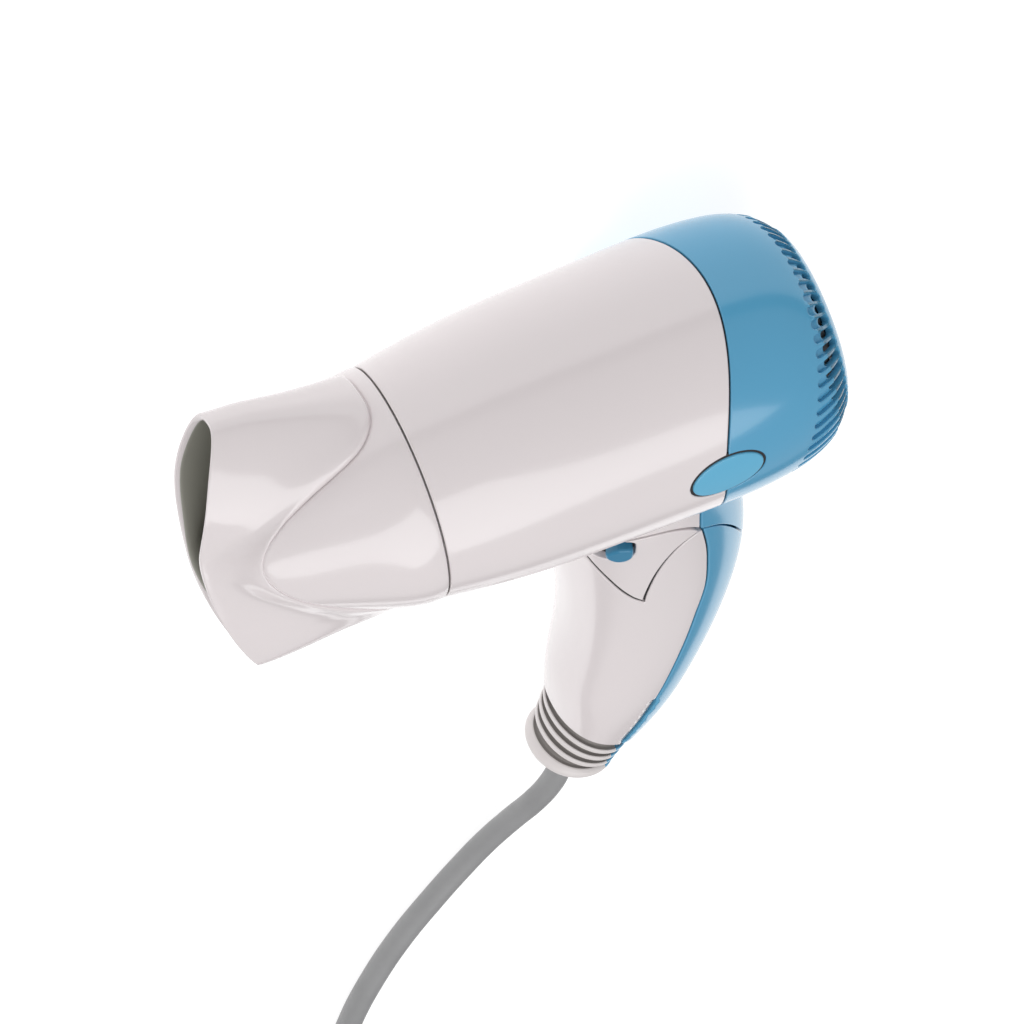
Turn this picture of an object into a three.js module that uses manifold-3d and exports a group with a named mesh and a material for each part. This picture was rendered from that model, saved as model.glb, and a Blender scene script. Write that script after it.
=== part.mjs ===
// Folding travel hair dryer with a turned concentrator, lying on its right side.
//
// Design frame (mm): X forward along the barrel axis, Y to the left side, Z up
// away from the handle; the origin is on the barrel axis at the front edge of
// the barrel shell. The last group turns that frame on its side, so that the
// right flank of the barrel and the right side of the handle rest on Z = 0.
import * as THREE from 'three';
import { mergeVertices } from 'three/addons/utils/BufferGeometryUtils.js';
import Module from 'manifold-3d';

const wasm = await Module();
wasm.setup();

// ---------------------------------------------------------------- dimensions
const WALL = 2.2;            // housing wall
const GAP = 0.35;            // clearance between neighbouring pieces
const REAR_X = -125;         // rear face of the barrel
const SEAM_X = -80.8;        // white / blue housing seam below the axis
const SEAM_BOW = 12.7;       // how far that seam runs back at the top
const SLOT_COUNT = 53;       // intake slots round the rear edge
const SLOT_WIDTH = 2.5;
const SLOT_MID = -107;       // slots start on a slanted plane through here
const SLOT_SLANT = 11;
const PIVOT = [-64.5, -61.5];  // fold axis in X, Z (parallel to Y)
const KNUCKLE = 19;          // radius of the round top of the grip
const LIE_TURN = 81.3;       // turn about X that lays the object on its side
const CORD_D = 7.0;
const COIL_R = 38.5;         // mean radius of the coiled cord
const COIL_CENTRE = [-10.5, 366]; // X, Y on the resting surface, before centring
const COIL_TURNS_WIDE = 3;   // turns side by side
const COIL_LIFT = 1.0;       // the coil lies on its tie

// barrel outer radius by X
const BARREL = [[0, 34.0], [-12.6, 35.9], [-28, 37.2], [-50, 38.25], [-74, 38.6], [-84, 38.6], [-95, 38.3], [-104, 37.4],
  [-112, 35.2], [-118, 32.2], [-122.4, 27.8], [-124.6, 23.2], [REAR_X, 20.5]];

// handle sections: centre X, centre Z, tilt of the section (deg), half depth, half width
const HANDLE = [
  [-71.2, -30, 0, 25.2, 23.0],
  [-71.0, -44, 0, 25.4, 22.6],
  [-71.8, -58, 0, 26.8, 21.6],
  [-73.0, -72, 0, 27.4, 20.8],
  [-74.3, -86, 0, 27.2, 20.2],
  [-74.0, -100, 1, 25.4, 20.0],
  [-70.6, -116, 6, 23.4, 19.8],
  [-66.1, -133, 13, 20.9, 18.9],
  [-61.3, -149, 22, 17.6, 17.4],
  [-55.7, -163, 33, 14.2, 15.4],
];
// ribbed end sleeve: same columns
const SLEEVE = [
  [-55.2, -163.9, 33, 11.8, 12.8],
  [-54.6, -165.4, 33, 11.8, 12.8],
  [-54.1, -166.6, 33, 13.6, 14.6],
  [-53.6, -167.9, 33, 13.4, 14.4],
  [-53.2, -168.9, 32, 11.6, 12.4],
  [-52.7, -170.1, 32, 13.2, 14.1],
  [-52.2, -171.4, 31, 13.0, 13.9],
  [-51.8, -172.4, 31, 11.2, 12.0],
  [-51.3, -173.6, 30, 12.9, 13.6],
  [-50.8, -174.9, 29, 12.7, 13.4],
  [-50.4, -176.0, 29, 10.9, 11.6],
  [-49.8, -177.4, 28, 12.6, 13.2],
  [-49.1, -179.4, 27, 11.8, 12.4],
  [-48.4, -181.2, 27, 9.0, 9.6],
];

// ------------------------------------------------------------------ helpers
const V = (x, y, z) => new THREE.Vector3(x, y, z);
const deg = THREE.MathUtils.degToRad;
const lerpTable = (t, x) => {
  const s = t[0][0] < t[t.length - 1][0] ? t : [...t].reverse();
  if (x <= s[0][0]) return s[0][1];
  for (let i = 1; i < s.length; i++) {
    if (x <= s[i][0]) {
      const f = (x - s[i - 1][0]) / (s[i][0] - s[i - 1][0]);
      return s[i - 1][1] + f * (s[i][1] - s[i - 1][1]);
    }
  }
  return s[s.length - 1][1];
};
const barrelR = (x) => lerpTable(BARREL, x);

function solid(geometry) {
  const g = geometry.index || geometry.attributes.position ? geometry.clone() : geometry;
  g.deleteAttribute('normal');
  g.deleteAttribute('uv');
  const m = mergeVertices(g, 1e-4);
  const mesh = new wasm.Mesh({
    numProp: 3,
    vertProperties: new Float32Array(m.attributes.position.array),
    triVerts: new Uint32Array(m.index.array),
  });
  return new wasm.Manifold(mesh);
}
function geometryOf(man) {
  const m = man.getMesh();
  const g = new THREE.BufferGeometry();
  g.setAttribute('position', new THREE.BufferAttribute(new Float32Array(m.vertProperties), 3));
  g.setIndex(new THREE.BufferAttribute(new Uint32Array(m.triVerts), 1));
  return g;
}
const largest = (man) => man.decompose().sort((a, b) => b.volume() - a.volume())[0];

// closed body of revolution about X from a closed [x, r] profile
function turned(profile, segments = 40) {
  const pts = profile.map(([x, r]) => new THREE.Vector2(r, x));
  if (profile[0][1] > 1e-6 || profile[profile.length - 1][1] > 1e-6) pts.push(pts[0].clone());
  const g = new THREE.LatheGeometry(pts, segments);
  g.rotateZ(-Math.PI / 2);
  const m = mergeVertices((g.deleteAttribute('normal'), g.deleteAttribute('uv'), g), 1e-4);
  return outward(m);
}
// turns every face out when the profile ran the other way
function outward(g) {
  const p = g.attributes.position.array, ix = g.index.array;
  let vol = 0;
  const a = V(0, 0, 0), b = V(0, 0, 0), c = V(0, 0, 0);
  for (let i = 0; i < ix.length; i += 3) {
    a.fromArray(p, 3 * ix[i]); b.fromArray(p, 3 * ix[i + 1]); c.fromArray(p, 3 * ix[i + 2]);
    vol += a.dot(b.cross(c));
  }
  if (vol < 0) for (let i = 0; i < ix.length; i += 3) { const t = ix[i + 1]; ix[i + 1] = ix[i + 2]; ix[i + 2] = t; }
  return g;
}
// ring between two radii
const ring = (x0, x1, rIn, rOut, segments = 40) => turned([[x0, rIn], [x0, rOut], [x1, rOut], [x1, rIn]], segments);
// closed loft through rings of points
function loft(rings) {
  const n = rings[0].length, pos = [], idx = [];
  for (const r of rings) for (const p of r) pos.push(p.x, p.y, p.z);
  const c0 = rings[0].reduce((s, p) => s.add(p), V(0, 0, 0)).multiplyScalar(1 / n);
  const last = rings[rings.length - 1];
  const c1 = last.reduce((s, p) => s.add(p), V(0, 0, 0)).multiplyScalar(1 / n);
  pos.push(c0.x, c0.y, c0.z, c1.x, c1.y, c1.z);
  const i0 = rings.length * n, i1 = i0 + 1;
  for (let j = 0; j + 1 < rings.length; j++) {
    for (let i = 0; i < n; i++) {
      const a = j * n + i, b = j * n + (i + 1) % n, c = a + n, d = b + n;
      idx.push(a, b, d, a, d, c);
    }
  }
  for (let i = 0; i < n; i++) {
    idx.push(i0, (i + 1) % n, i);
    idx.push(i1, (rings.length - 1) * n + i, (rings.length - 1) * n + (i + 1) % n);
  }
  const g = new THREE.BufferGeometry();
  g.setAttribute('position', new THREE.Float32BufferAttribute(pos, 3));
  g.setIndex(idx);
  return outward(g);
}
// ring of points of one handle section
function section([cx, cz, tilt, a, b], inset = 0, n = 32, power = 2.25) {
  const t = deg(tilt), out = [];
  const e1 = V(Math.cos(t), 0, Math.sin(t));
  for (let i = 0; i < n; i++) {
    const q = (2 * Math.PI * i) / n;
    const c = Math.cos(q), s = Math.sin(q);
    const f = Math.pow(Math.pow(Math.abs(c), power) + Math.pow(Math.abs(s), power), -1 / power);
    const p = V(cx, 0, cz).addScaledVector(e1, (a - inset) * c * f);
    p.y = (b - inset) * s * f;
    out.push(p);
  }
  return out;
}
// slab: a closed polygon in X, Z carried from y0 to y1
function slab(poly, y0, y1) {
  const s = new THREE.Shape(poly.map(([x, z]) => new THREE.Vector2(x, z)));
  const g = new THREE.ExtrudeGeometry(s, { depth: y1 - y0, bevelEnabled: false });
  g.rotateX(Math.PI / 2); // shape y -> z, depth -> -y
  g.translate(0, y1, 0);
  return g;
}
const box = (x0, x1, y0, y1, z0, z1) => {
  const g = new THREE.BoxGeometry(x1 - x0, y1 - y0, z1 - z0);
  g.translate((x0 + x1) / 2, (y0 + y1) / 2, (z0 + z1) / 2);
  return g;
};
const rodY = (x, z, r, y0, y1, n = 24) => {
  const g = new THREE.CylinderGeometry(r, r, y1 - y0, n);
  g.translate(x, (y0 + y1) / 2, z);
  return g;
};
const arc = (cx, cz, r, a0, a1, n) => Array.from({ length: n + 1 }, (_, i) => {
  const a = deg(a0 + ((a1 - a0) * i) / n);
  return [cx + r * Math.cos(a), cz + r * Math.sin(a)];
});

const white = { color: 0xe6dfdf, roughness: 0.28, metalness: 0 };
const blue = { color: 0x68afd2, roughness: 0.3, metalness: 0 };
const darkBlue = { color: 0x2f7396, roughness: 0.35, metalness: 0 };
const grey = { color: 0x8f8c89, roughness: 0.5, metalness: 0 };
const cordGrey = { color: 0x9b9b9b, roughness: 0.55, metalness: 0 };
const black = { color: 0x202224, roughness: 0.6, metalness: 0 };
const steel = { color: 0xb9bcc0, roughness: 0.3, metalness: 1 };
const mica = { color: 0xb8a37c, roughness: 0.6, metalness: 0 };
const wire = { color: 0x9a8f86, roughness: 0.4, metalness: 1 };

const dryer = new THREE.Group();
function piece(name, geometry, look, parent = dryer) {
  const mesh = new THREE.Mesh(geometry, new THREE.MeshStandardMaterial(look));
  mesh.name = name;
  parent.add(mesh);
  return mesh;
}

// ------------------------------------------------------------------- barrel
const outerLine = BARREL.map(([x, r]) => [x, r]);
// inner wall: the outer one offset towards the axis, the rear face WALL thick
const innerLine = BARREL.filter(([x]) => x > -119).map(([x, r]) => [x, r - WALL]);
const shellWhole = solid(turned([
  [REAR_X, 0], ...[...outerLine].reverse(), ...innerLine, [-120.8, 26.4], [REAR_X + WALL, 21.0], [REAR_X + WALL, 0],
], 60));
const seamAt = (z, shift) => SEAM_X + shift - (z > 0 ? SEAM_BOW * (z / 38.6) ** 2 : 0);
const seamLine = (shift) => Array.from({ length: 15 }, (_, i) => -42 + 6 * i).map((z) => [seamAt(z, shift), z]);
const frontPart = solid(slab([[6, -42], [6, 42], ...seamLine(GAP / 2).reverse()], -45, 45));
const rearPart = solid(slab([[-140, 42], [-140, -42], ...seamLine(-GAP / 2)], -45, 45));
piece('barrel_shell', geometryOf(largest(shellWhole.intersect(frontPart))), white);

let cap = shellWhole.intersect(rearPart);
const slots = [];
for (let i = 0; i < SLOT_COUNT; i++) {
  const a = (2 * Math.PI * i) / SLOT_COUNT + 0.0873;
  const start = SLOT_MID - SLOT_SLANT * Math.cos(a);
  const g = new THREE.BoxGeometry(start + 122.4, SLOT_WIDTH, 16);
  g.translate((start - 122.4) / 2, 0, 34.4);
  g.rotateX(-a);
  slots.push(solid(g));
}
cap = cap.subtract(wasm.Manifold.union(slots));
piece('rear_cap', geometryOf(largest(cap)), blue);

piece('intake_ring', ring(-115.4, -103.6, 28.8, 30.4, 36), blue);
// dust screen: a thin perforated drum behind the slots
let screen = solid(ring(-120.6, -116.4, 25.0, 26.0, 36));
screen = screen.subtract(wasm.Manifold.union(Array.from({ length: 12 }, (_, i) => {
  const g = new THREE.BoxGeometry(2.4, 4, 6);
  g.translate(-118.5, 0, 25.5);
  g.rotateX((2 * Math.PI * i) / 12);
  return solid(g);
})));
piece('dust_screen', geometryOf(screen), black);

// oval caps over the housing fasteners, on both flanks
function ovalCap(side) {
  const n = 28, rings = [];
  const centre = [-81.7, 4.4];
  const tilt = deg(-5) ;
  for (const [h, f] of [[0.45, 0.06], [0.45, 0.5], [0.45, 1], [0.8, 1], [1.1, 0.86], [1.25, 0.5], [1.3, 0.06]]) {
    const r = [];
    for (let i = 0; i < n; i++) {
      const q = (2 * Math.PI * i) / n;
      const lx = 10.6 * f * Math.cos(q), lz = 6.9 * f * Math.sin(q);
      const x = centre[0] + lx * Math.cos(tilt) - lz * Math.sin(tilt);
      const s = centre[1] + lx * Math.sin(tilt) + lz * Math.cos(tilt);
      const R = barrelR(x) + h;
      const a = s / 38.6;
      r.push(V(x, side * R * Math.cos(a), R * Math.sin(a)));
    }
    rings.push(r);
  }
  return loft(rings);
}
piece('fastener_cap_left', ovalCap(1), blue);
piece('fastener_cap_right', ovalCap(-1), blue);

// ------------------------------------------------------- motor, fan, heater
const hubRing = solid(ring(-92, -66, 14.6, 16.0, 32)).add(solid(ring(-92, -66, 28.6, 30.2, 40)));
const vanes = Array.from({ length: 7 }, (_, i) => {
  const g = new THREE.BoxGeometry(18, 1.2, 13.6);
  g.translate(-79, 0, 22.3);
  g.rotateX((2 * Math.PI * i) / 7 + 0.2);
  return solid(g);
});
piece('motor_mount', geometryOf(wasm.Manifold.union([hubRing, ...vanes])), black);
piece('motor_can', turned([[-90, 2.0], [-90, 13.0], [-89, 14.1], [-66, 14.1], [-64, 11], [-62, 11], [-62, 4], [-78, 4], [-78, 2.0]], 32), steel);
piece('motor_shaft', turned([[-103, 0], [-103, 1.5], [-80, 1.5], [-80, 0]], 16), steel);
const blades = Array.from({ length: 9 }, (_, i) => {
  const g = new THREE.BoxGeometry(1.3, 8.6, 19.4);
  g.rotateZ(deg(52));
  g.translate(-98, 0, 18.2);
  g.rotateX((2 * Math.PI * i) / 9);
  return solid(g);
});
const fanHub = solid(turned([[-102.6, 1.8], [-102.6, 7], [-100.6, 9.6], [-93.4, 9.6], [-93.4, 1.8]], 32));
piece('fan_impeller', geometryOf(wasm.Manifold.union([fanHub, ...blades])), black);

piece('mica_sleeve', ring(-60, -18, 28.4, 29.4, 32), mica);
piece('heater_board', box(-58, -20, -0.6, 0.6, -22.6, 22.6), mica);
piece('heater_board_left', box(-58, -20, 1.0, 22.6, -0.6, 0.6), mica);
piece('heater_board_right', box(-58, -20, -22.6, -1.0, -0.6, 0.6), mica);
[-50, -39, -28].forEach((x, i) => {
  const g = new THREE.TorusGeometry(24.0, 0.9, 6, 24);
  g.rotateY(Math.PI / 2);
  g.translate(x, 0, 0);
  piece(`heater_winding_${i + 1}`, g, wire);
});
piece('thermostat', box(-46, -36, 1.0, 6.2, 3, 11), black);
const fuse = new THREE.CylinderGeometry(1.6, 1.6, 11, 16);
fuse.rotateZ(Math.PI / 2);
fuse.translate(-38, 4, -6);
piece('thermal_fuse', fuse, steel);

// outlet grille: three rings on six spokes
const spokes = Array.from({ length: 6 }, (_, i) => {
  const g = new THREE.BoxGeometry(2.4, 1.6, 27.4);
  g.translate(-14.4, 0, 16.2);
  g.rotateX((2 * Math.PI * i) / 6 + 0.26);
  return solid(g);
});
piece('outlet_grille', geometryOf(wasm.Manifold.union([
  solid(ring(-16, -13, 29.4, 31.2, 36)), solid(ring(-15.6, -13.2, 19.6, 21.2, 30)), solid(ring(-15.6, -13.2, 10, 11.6, 24)),
  solid(turned([[-15.6, 0], [-15.6, 3.4], [-13.2, 3.4], [-13.2, 0]], 20)), ...spokes,
])), black);

// ------------------------------------------------------------- concentrator
piece('nozzle_collar', turned([[-12, 29.8], [-12, 31.2], [5.6, 31.2], [5.6, 29.4], [4, 29.4]], 40), white);
// stations: X, half length of the slot, half thickness, and how much the section is a dog bone
const NOZZLE = [
  [0.35, 34.0, 34.0, 0], [7.5, 33.4, 33.4, 0], [14, 32.4, 31.6, 0], [20, 32.4, 29.4, 0], [27, 33.0, 25.4, 0.05],
  [34, 34.2, 20.4, 0.1], [41, 35.6, 15.8, 0.2], [48, 37.4, 12.6, 0.35], [55, 38.8, 10.8, 0.5], [62, 39.4, 10.0, 0.55],
];
const SLOT_TURN = deg(-60.7); // the slot stands this far from the horizontal
function nozzleRing([x, L, T, bone], inset, stretch = 0, n = 40) {
  const out = [];
  const w = V(0, Math.cos(SLOT_TURN), Math.sin(SLOT_TURN));
  const m = V(0, -Math.sin(SLOT_TURN), Math.cos(SLOT_TURN));
  for (let i = 0; i < n; i++) {
    const q = (2 * Math.PI * i) / n;
    const p = 2 + 1.2 * bone;
    const f = Math.pow(Math.pow(Math.abs(Math.cos(q)), p) + Math.pow(Math.abs(Math.sin(q)), p), -1 / p);
    const s = Math.cos(q) * f;
    const waist = 1 - bone * 0.9 * Math.pow(Math.cos((Math.PI / 2) * Math.min(1, Math.abs(s) / 0.72)), 2);
    const a = (L - inset) * s, b = (T - inset) * Math.sin(q) * f * waist;
    const bow = 11.5 * Math.pow(s, 2) * Math.max(0, (x - 20) / 42);
    out.push(V(x - bow + stretch, 0, 0).addScaledVector(w, a).addScaledVector(m, b));
  }
  return out;
}
const nozzleOuter = solid(loft(NOZZLE.map((s) => nozzleRing(s, 0))));
const nozzleInner = solid(loft([
  nozzleRing([-3, 31.7, 31.7, 0], 0), nozzleRing([6, 31.7, 31.7, 0], 0),
  ...NOZZLE.slice(2).map((s) => nozzleRing(s, s[0] > 40 ? 1.5 : 1.9)), nozzleRing([62.2, 41, 10, 0.55], 1.4, 3),
]));
piece('concentrator_nozzle', geometryOf(largest(nozzleOuter.subtract(nozzleInner))), white);

// ------------------------------------------------------------------- handle
const skinOuter = solid(loft(HANDLE.map((s) => section(s))));
const HOLLOW = [...HANDLE.slice(0, -1), [-55.3, -164.1, 33, 14.2, 15.4]];
const skinInner = solid(loft([section([-71.2, -26, 0, 25.2, 23.0], WALL), ...HOLLOW.map((s) => section(s, WALL))]));
const skinAll = skinOuter.subtract(skinInner);
const barrelClear = solid(turned([[REAR_X - 2, 0], ...[...outerLine].reverse().map(([x, r]) => [x, r + GAP]), [0, 0]], 48));

const [px, pz] = PIVOT;
// top edge of the grip: round the fold axis, then out to the rear
const TOP_REAR = [[-82.4, -53.1], [-86.1, -56.6], [-90.8, -63.4], [-94.9, -72.4], [-98.6, -84], [-108, -104]];
const gripTop = [...arc(px, pz, KNUCKLE, -4, 152, 24), ...TOP_REAR];
const gripRegion = solid(slab([[-20, -66], [-44.5, -64.5], ...gripTop, [-120, -104], [-120, -215], [-20, -215]], -40, 40));
const neckBottom = [...arc(px, pz, KNUCKLE + 0.7, 73, 152, 12), ...TOP_REAR.map(([x, z]) => [x - 0.6, z + 0.5])];
const neckRegion = solid(slab([...neckBottom, [-118, -104], [-118, -20], [px + (KNUCKLE + 0.7) * Math.cos(deg(73)), -20]], -40, 40));

// white / blue seam down the side of the grip
const SIDE_SEAM = [[-81.0, -20], [-81.0, -47], [-81.8, -54], [-83.1, -64], [-83.4, -74], [-82.8, -87], [-80.7, -98.6], [-78.5, -109.2],
  [-74.9, -122.4], [-70.5, -135.6], [-65.6, -146.7], [-60.8, -158.6], [-57.4, -167], [-54, -215]];
const sideFront = solid(slab([...SIDE_SEAM.map(([x, z]) => [x + GAP / 2, z]), [-20, -215], [-20, -20]].reverse(), -40, 40));
const sideRear = solid(slab([...SIDE_SEAM.map(([x, z]) => [x - GAP / 2, z]), [-130, -215], [-130, -20]], -40, 40));

// V-shaped side panels: round front edge, straight rear edge, tip below the axis
const V_FRONT = [[-47.2, -44], [-47.9, -52], [-49.9, -57.8], [-51.8, -62.2], [-54.3, -67.5], [-56.4, -71.9], [-58.9, -76.4], [-61.5, -80.0], [-64.1, -82.4]];
const V_REAR = [[-65.4, -75.6], [-66.8, -70.2], [-69.0, -63.9], [-71.6, -59.1], [-75.2, -55.0], [-78.7, -53.2], [-81.6, -52.6]];
const vShape = (o) => [
  ...V_FRONT.map(([x, z], i) => [x + (i === 8 ? 0 : 0.9 * o), z - 0.45 * o - (i === 8 ? o : 0)]),
  ...V_REAR.map(([x, z], i) => [x - o * (1 - i / 7), z - o * (i / 7)]), [-84, -36], [-50, -36],
].reverse();
const panelPocket = (side) => solid(slab(vShape(GAP), side > 0 ? 8.6 : -40, side > 0 ? 40 : -8.6));
const panelBody = (side) => solid(slab(vShape(0), side > 0 ? 9.0 : -40, side > 0 ? 40 : -9.0));
const topCut = solid(slab([...arc(px, pz, KNUCKLE - 0.02, -4, 152, 24), [-84, -54], [-84, -90], [-44, -90], [-44, -63.5]], -40, 40));
const skinPanel = skinOuter.subtract(solid(loft([section([-71.2, -26, 0, 25.2, 23.0], WALL), ...HOLLOW.map((s) => section(s, WALL))])));

// the top of the round grip end is open between the side walls for the hinge tongue
const tongueWay = solid(box(-100, -30, -9.6, 9.6, -62, -20));
const buttonWay = solid(box(-61.0, -49.2, 12, 40, -54.3, -44.0));

let gripSkin = skinAll.intersect(gripRegion).subtract(barrelClear).subtract(tongueWay);
const frontShell = gripSkin.intersect(sideFront).subtract(panelPocket(1)).subtract(panelPocket(-1));
const rearShell = gripSkin.intersect(sideRear);
piece('grip_front_shell', geometryOf(largest(frontShell)), white);
piece('grip_rear_shell', geometryOf(largest(rearShell)), blue);
const panel = (side) => largest(skinPanel.intersect(panelBody(side)).intersect(topCut).subtract(barrelClear).subtract(tongueWay));
piece('switch_panel', geometryOf(largest(panel(1).subtract(buttonWay))), white);
piece('side_panel', geometryOf(panel(-1)), white);

// neck saddles under the barrel: white in front of the housing seam, blue behind
const neckSkin = skinAll.intersect(neckRegion).subtract(barrelClear);
const neckBlock = skinOuter.intersect(neckRegion).subtract(barrelClear).subtract(solid(box(-100, -50, -9.3, 9.3, -70, -20)));
const neckCut = (x0, x1) => solid(box(x0, x1, -40, 40, -90, -10));
piece('neck_front', geometryOf(largest(neckBlock.intersect(neckCut(SEAM_X + GAP / 2, -40)).add(
  solid(box(SEAM_X + GAP / 2, -61, -22, 22, -40, -30)).subtract(barrelClear).intersect(skinOuter)).subtract(
  solid(box(-100, -50, -9.3, 9.3, -70, -20))))), white);
piece('neck_rear', geometryOf(largest(neckSkin.intersect(neckCut(-130, SEAM_X - GAP / 2)))), blue);

// hinge tongue: a round eye on the fold axis and an arm up to the barrel
const tongueShape = [...arc(px, pz, 11, -190, 60, 20), [-61.0, -46], [-61.0, -30], [-79.0, -30], [-79.0, -50]];
let tongue = solid(slab(tongueShape, -8.4, 8.4)).subtract(barrelClear).subtract(solid(rodY(px, pz, 3.4, -20, 20, 24)));
piece('hinge_tongue', geometryOf(largest(tongue)), black);
piece('hinge_pin', rodY(px, pz, 3.05, -15.6, 15.6, 24), steel);
// cheeks on both sides of the eye carry the pin in the grip
for (const [name, s] of [['hinge_cheek_left', 1], ['hinge_cheek_right', -1]]) {
  const g = solid(rodY(px, pz, 7.6, s > 0 ? 9.9 : -14.6, s > 0 ? 14.6 : -9.9, 28)).subtract(solid(rodY(px, pz, 3.4, -30, 30, 24)));
  piece(name, geometryOf(g), white);
}

// ------------------------------------------------------------------- switch
piece('switch_block', box(-68, -56, -4, 10.4, -104, -84), black);
const btn = solid(box(-60.6, -52.6, 16.4, 25.4, -53.9, -46.8)).intersect(
  solid(loft([...HANDLE.slice(0, 6).map((s) => section(s, -1.5))])));
const btnFoot = solid(box(-60.2, -53.0, 16.4, 18.0, -53.5, -47.2));
piece('switch_button', geometryOf(largest(btn.add(btnFoot))), darkBlue);

// ------------------------------------------------------- inside the handle
piece('terminal_block', box(-82, -66, -8, 8, -128, -106), black);
piece('cord_clamp', box(-66, -52, -8, 8, -152, -147), grey);
for (const [name, z, x] of [['grip_screw_upper', -100, -91], ['grip_screw_lower', -136, -77]]) {
  const g = new THREE.CylinderGeometry(2.2, 1.5, 10, 16);
  g.rotateZ(Math.PI / 2);
  g.translate(x, 0, z);
  piece(name, g, steel);
}

// --------------------------------------------------------------- end sleeve
const sleeve = solid(loft(SLEEVE.map((s) => section(s, 0, 32, 2.05)))).subtract(solid(loft([
  section([-56.0, -161.6, 33, 9.0, 9.0], 0, 20, 2), section([-50.4, -175.6, 30, 4.6, 4.6], 0, 20, 2), section([-45.9, -187, 27, 4.6, 4.6], 0, 20, 2)])));
piece('cord_sleeve', geometryOf(largest(sleeve)), white);

// ---------------------------------------------------- lay it on its side
const layer = new THREE.Group();
layer.rotation.x = deg(LIE_TURN);
layer.add(dryer);
const whole = new THREE.Group();
whole.add(layer);
whole.updateMatrixWorld(true);
const extent = new THREE.Box3().setFromObject(whole, true);
layer.position.set(-(extent.min.x + extent.max.x) / 2, -(extent.min.y + extent.max.y) / 2, -extent.min.z);

// ------------------------------------------- mains lead on the resting surface
const ground = new THREE.Group(); // same turn-free frame, Z = 0 on the surface
ground.position.set(layer.position.x, layer.position.y, 0);
whole.add(ground);
const LEAD = [[-47.4, 181.6, 12.7], [-45.6, 187.5, 12.5], [-42.4, 194.6, 11.6], [-37.6, 202.0, 9.7], [-31.4, 209.8, 6.9], [-23.6, 218.8, 4.4],
  [-15.4, 227.0, 3.6], [-6.0, 236.0, 3.55], [4.4, 247.0, 3.55], [14.0, 260.0, 3.55], [22.6, 275.4, 3.55], [29.2, 294.0, 3.55],
  [33.2, 316.0, 3.7], [34.9, 337.4, 4.5]];
function lead(points, steps) {
  const path = new THREE.CatmullRomCurve3(points.map((p) => V(...p)), false, 'centripetal');
  const r = CORD_D / 2, sides = 10;
  const shape = new THREE.Shape(Array.from({ length: sides }, (_, i) => {
    const a = (2 * Math.PI * i) / sides;
    return new THREE.Vector2(r * Math.cos(a), r * Math.sin(a));
  }));
  return new THREE.ExtrudeGeometry(shape, { steps, extrudePath: path, bevelEnabled: false });
}
piece('cord_tube', lead(LEAD, 24), cordGrey, ground);
const coilIn = COIL_R - (COIL_TURNS_WIDE * CORD_D) / 2 - 0.2, coilOut = COIL_R + (COIL_TURNS_WIDE * CORD_D) / 2 + 0.2;
const coil = new THREE.LatheGeometry([
  [coilIn, 2.2], [coilIn + 1.4, 0], [coilOut - 1.4, 0], [coilOut, 2.2], [coilOut, 12.2], [coilOut - 2, 14.3], [coilIn + 2, 14.3], [coilIn, 12.2], [coilIn, 2.2],
].map(([r, z]) => new THREE.Vector2(r, z)), 40);
coil.rotateX(Math.PI / 2);
const coilMesh = outward((coil.deleteAttribute('normal'), coil.deleteAttribute('uv'), mergeVertices(coil, 1e-4)));
coilMesh.translate(COIL_CENTRE[0], COIL_CENTRE[1], COIL_LIFT);
piece('cord_coil', coilMesh, cordGrey, ground);
const TAIL = [[-33.5, 415.4, 5.0], [-44, 415.4, 4.0], [-55, 412.6, 3.9], [-65.5, 408.0, 5.2], [-75.2, 403.2, 7.0]];
piece('cord_tail', lead(TAIL, 8), cordGrey, ground);

// tie round the coil
const tieAt = deg(205);
const tieOuter = new THREE.BoxGeometry(coilOut - coilIn + 2.2, 7, 16.4);
const tieInner = new THREE.BoxGeometry(coilOut - coilIn + 0.7, 9, 15.0);
const tieSolid = solid(tieOuter).subtract(solid(tieInner));
const tieGeo = geometryOf(tieSolid);
tieGeo.translate(COIL_R, 0, 0);
tieGeo.rotateZ(tieAt);
tieGeo.translate(COIL_CENTRE[0], COIL_CENTRE[1], 8.22);
piece('cord_tie', tieGeo, black, ground);

// two-pin plug, lying flat beside the coil
const plug = new THREE.Group();
plug.position.set(-75.6, 403.0, 7.05);
plug.rotation.z = deg(206.5);
ground.add(plug);
const plugShape = (pts) => loft(pts.map(([x, a, b]) => Array.from({ length: 24 }, (_, i) => {
  const q = (2 * Math.PI * i) / 24, c = Math.cos(q), w = Math.sin(q);
  const f = Math.pow(Math.pow(Math.abs(c), 3) + Math.pow(Math.abs(w), 3), -1 / 3);
  return V(x, a * c * f, b * w * f);
})));
piece('plug_body', plugShape([[0.4, 4.6, 4.6], [5, 5.4, 5.0], [9, 8.6, 6.2], [16, 12.4, 6.9], [26, 13.0, 6.9], [33, 12.6, 6.9], [36, 12.0, 6.4]]), cordGrey, plug);
for (const [name, s] of [['plug_pin_left', 1], ['plug_pin_right', -1]]) {
  const g = new THREE.CylinderGeometry(2.0, 2.0, 18.6, 16);
  g.rotateZ(-Math.PI / 2);
  g.translate(36.4 + 9.3, s * 9.3, 0);
  piece(name, g, steel, plug);
}
whole.updateMatrixWorld(true);

export default whole;
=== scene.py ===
# Folding travel hair dryer with concentrator nozzle, laid on its side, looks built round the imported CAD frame.
# All design work is in millimetres in the dryer's own frame (X forward along the barrel axis, Y left, Z up),
# then turned into the row frame by row().
import bpy
import math
import numpy as np
from mathutils import Matrix, Vector
from mathutils.geometry import delaunay_2d_cdt
from mathutils.kdtree import KDTree


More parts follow.
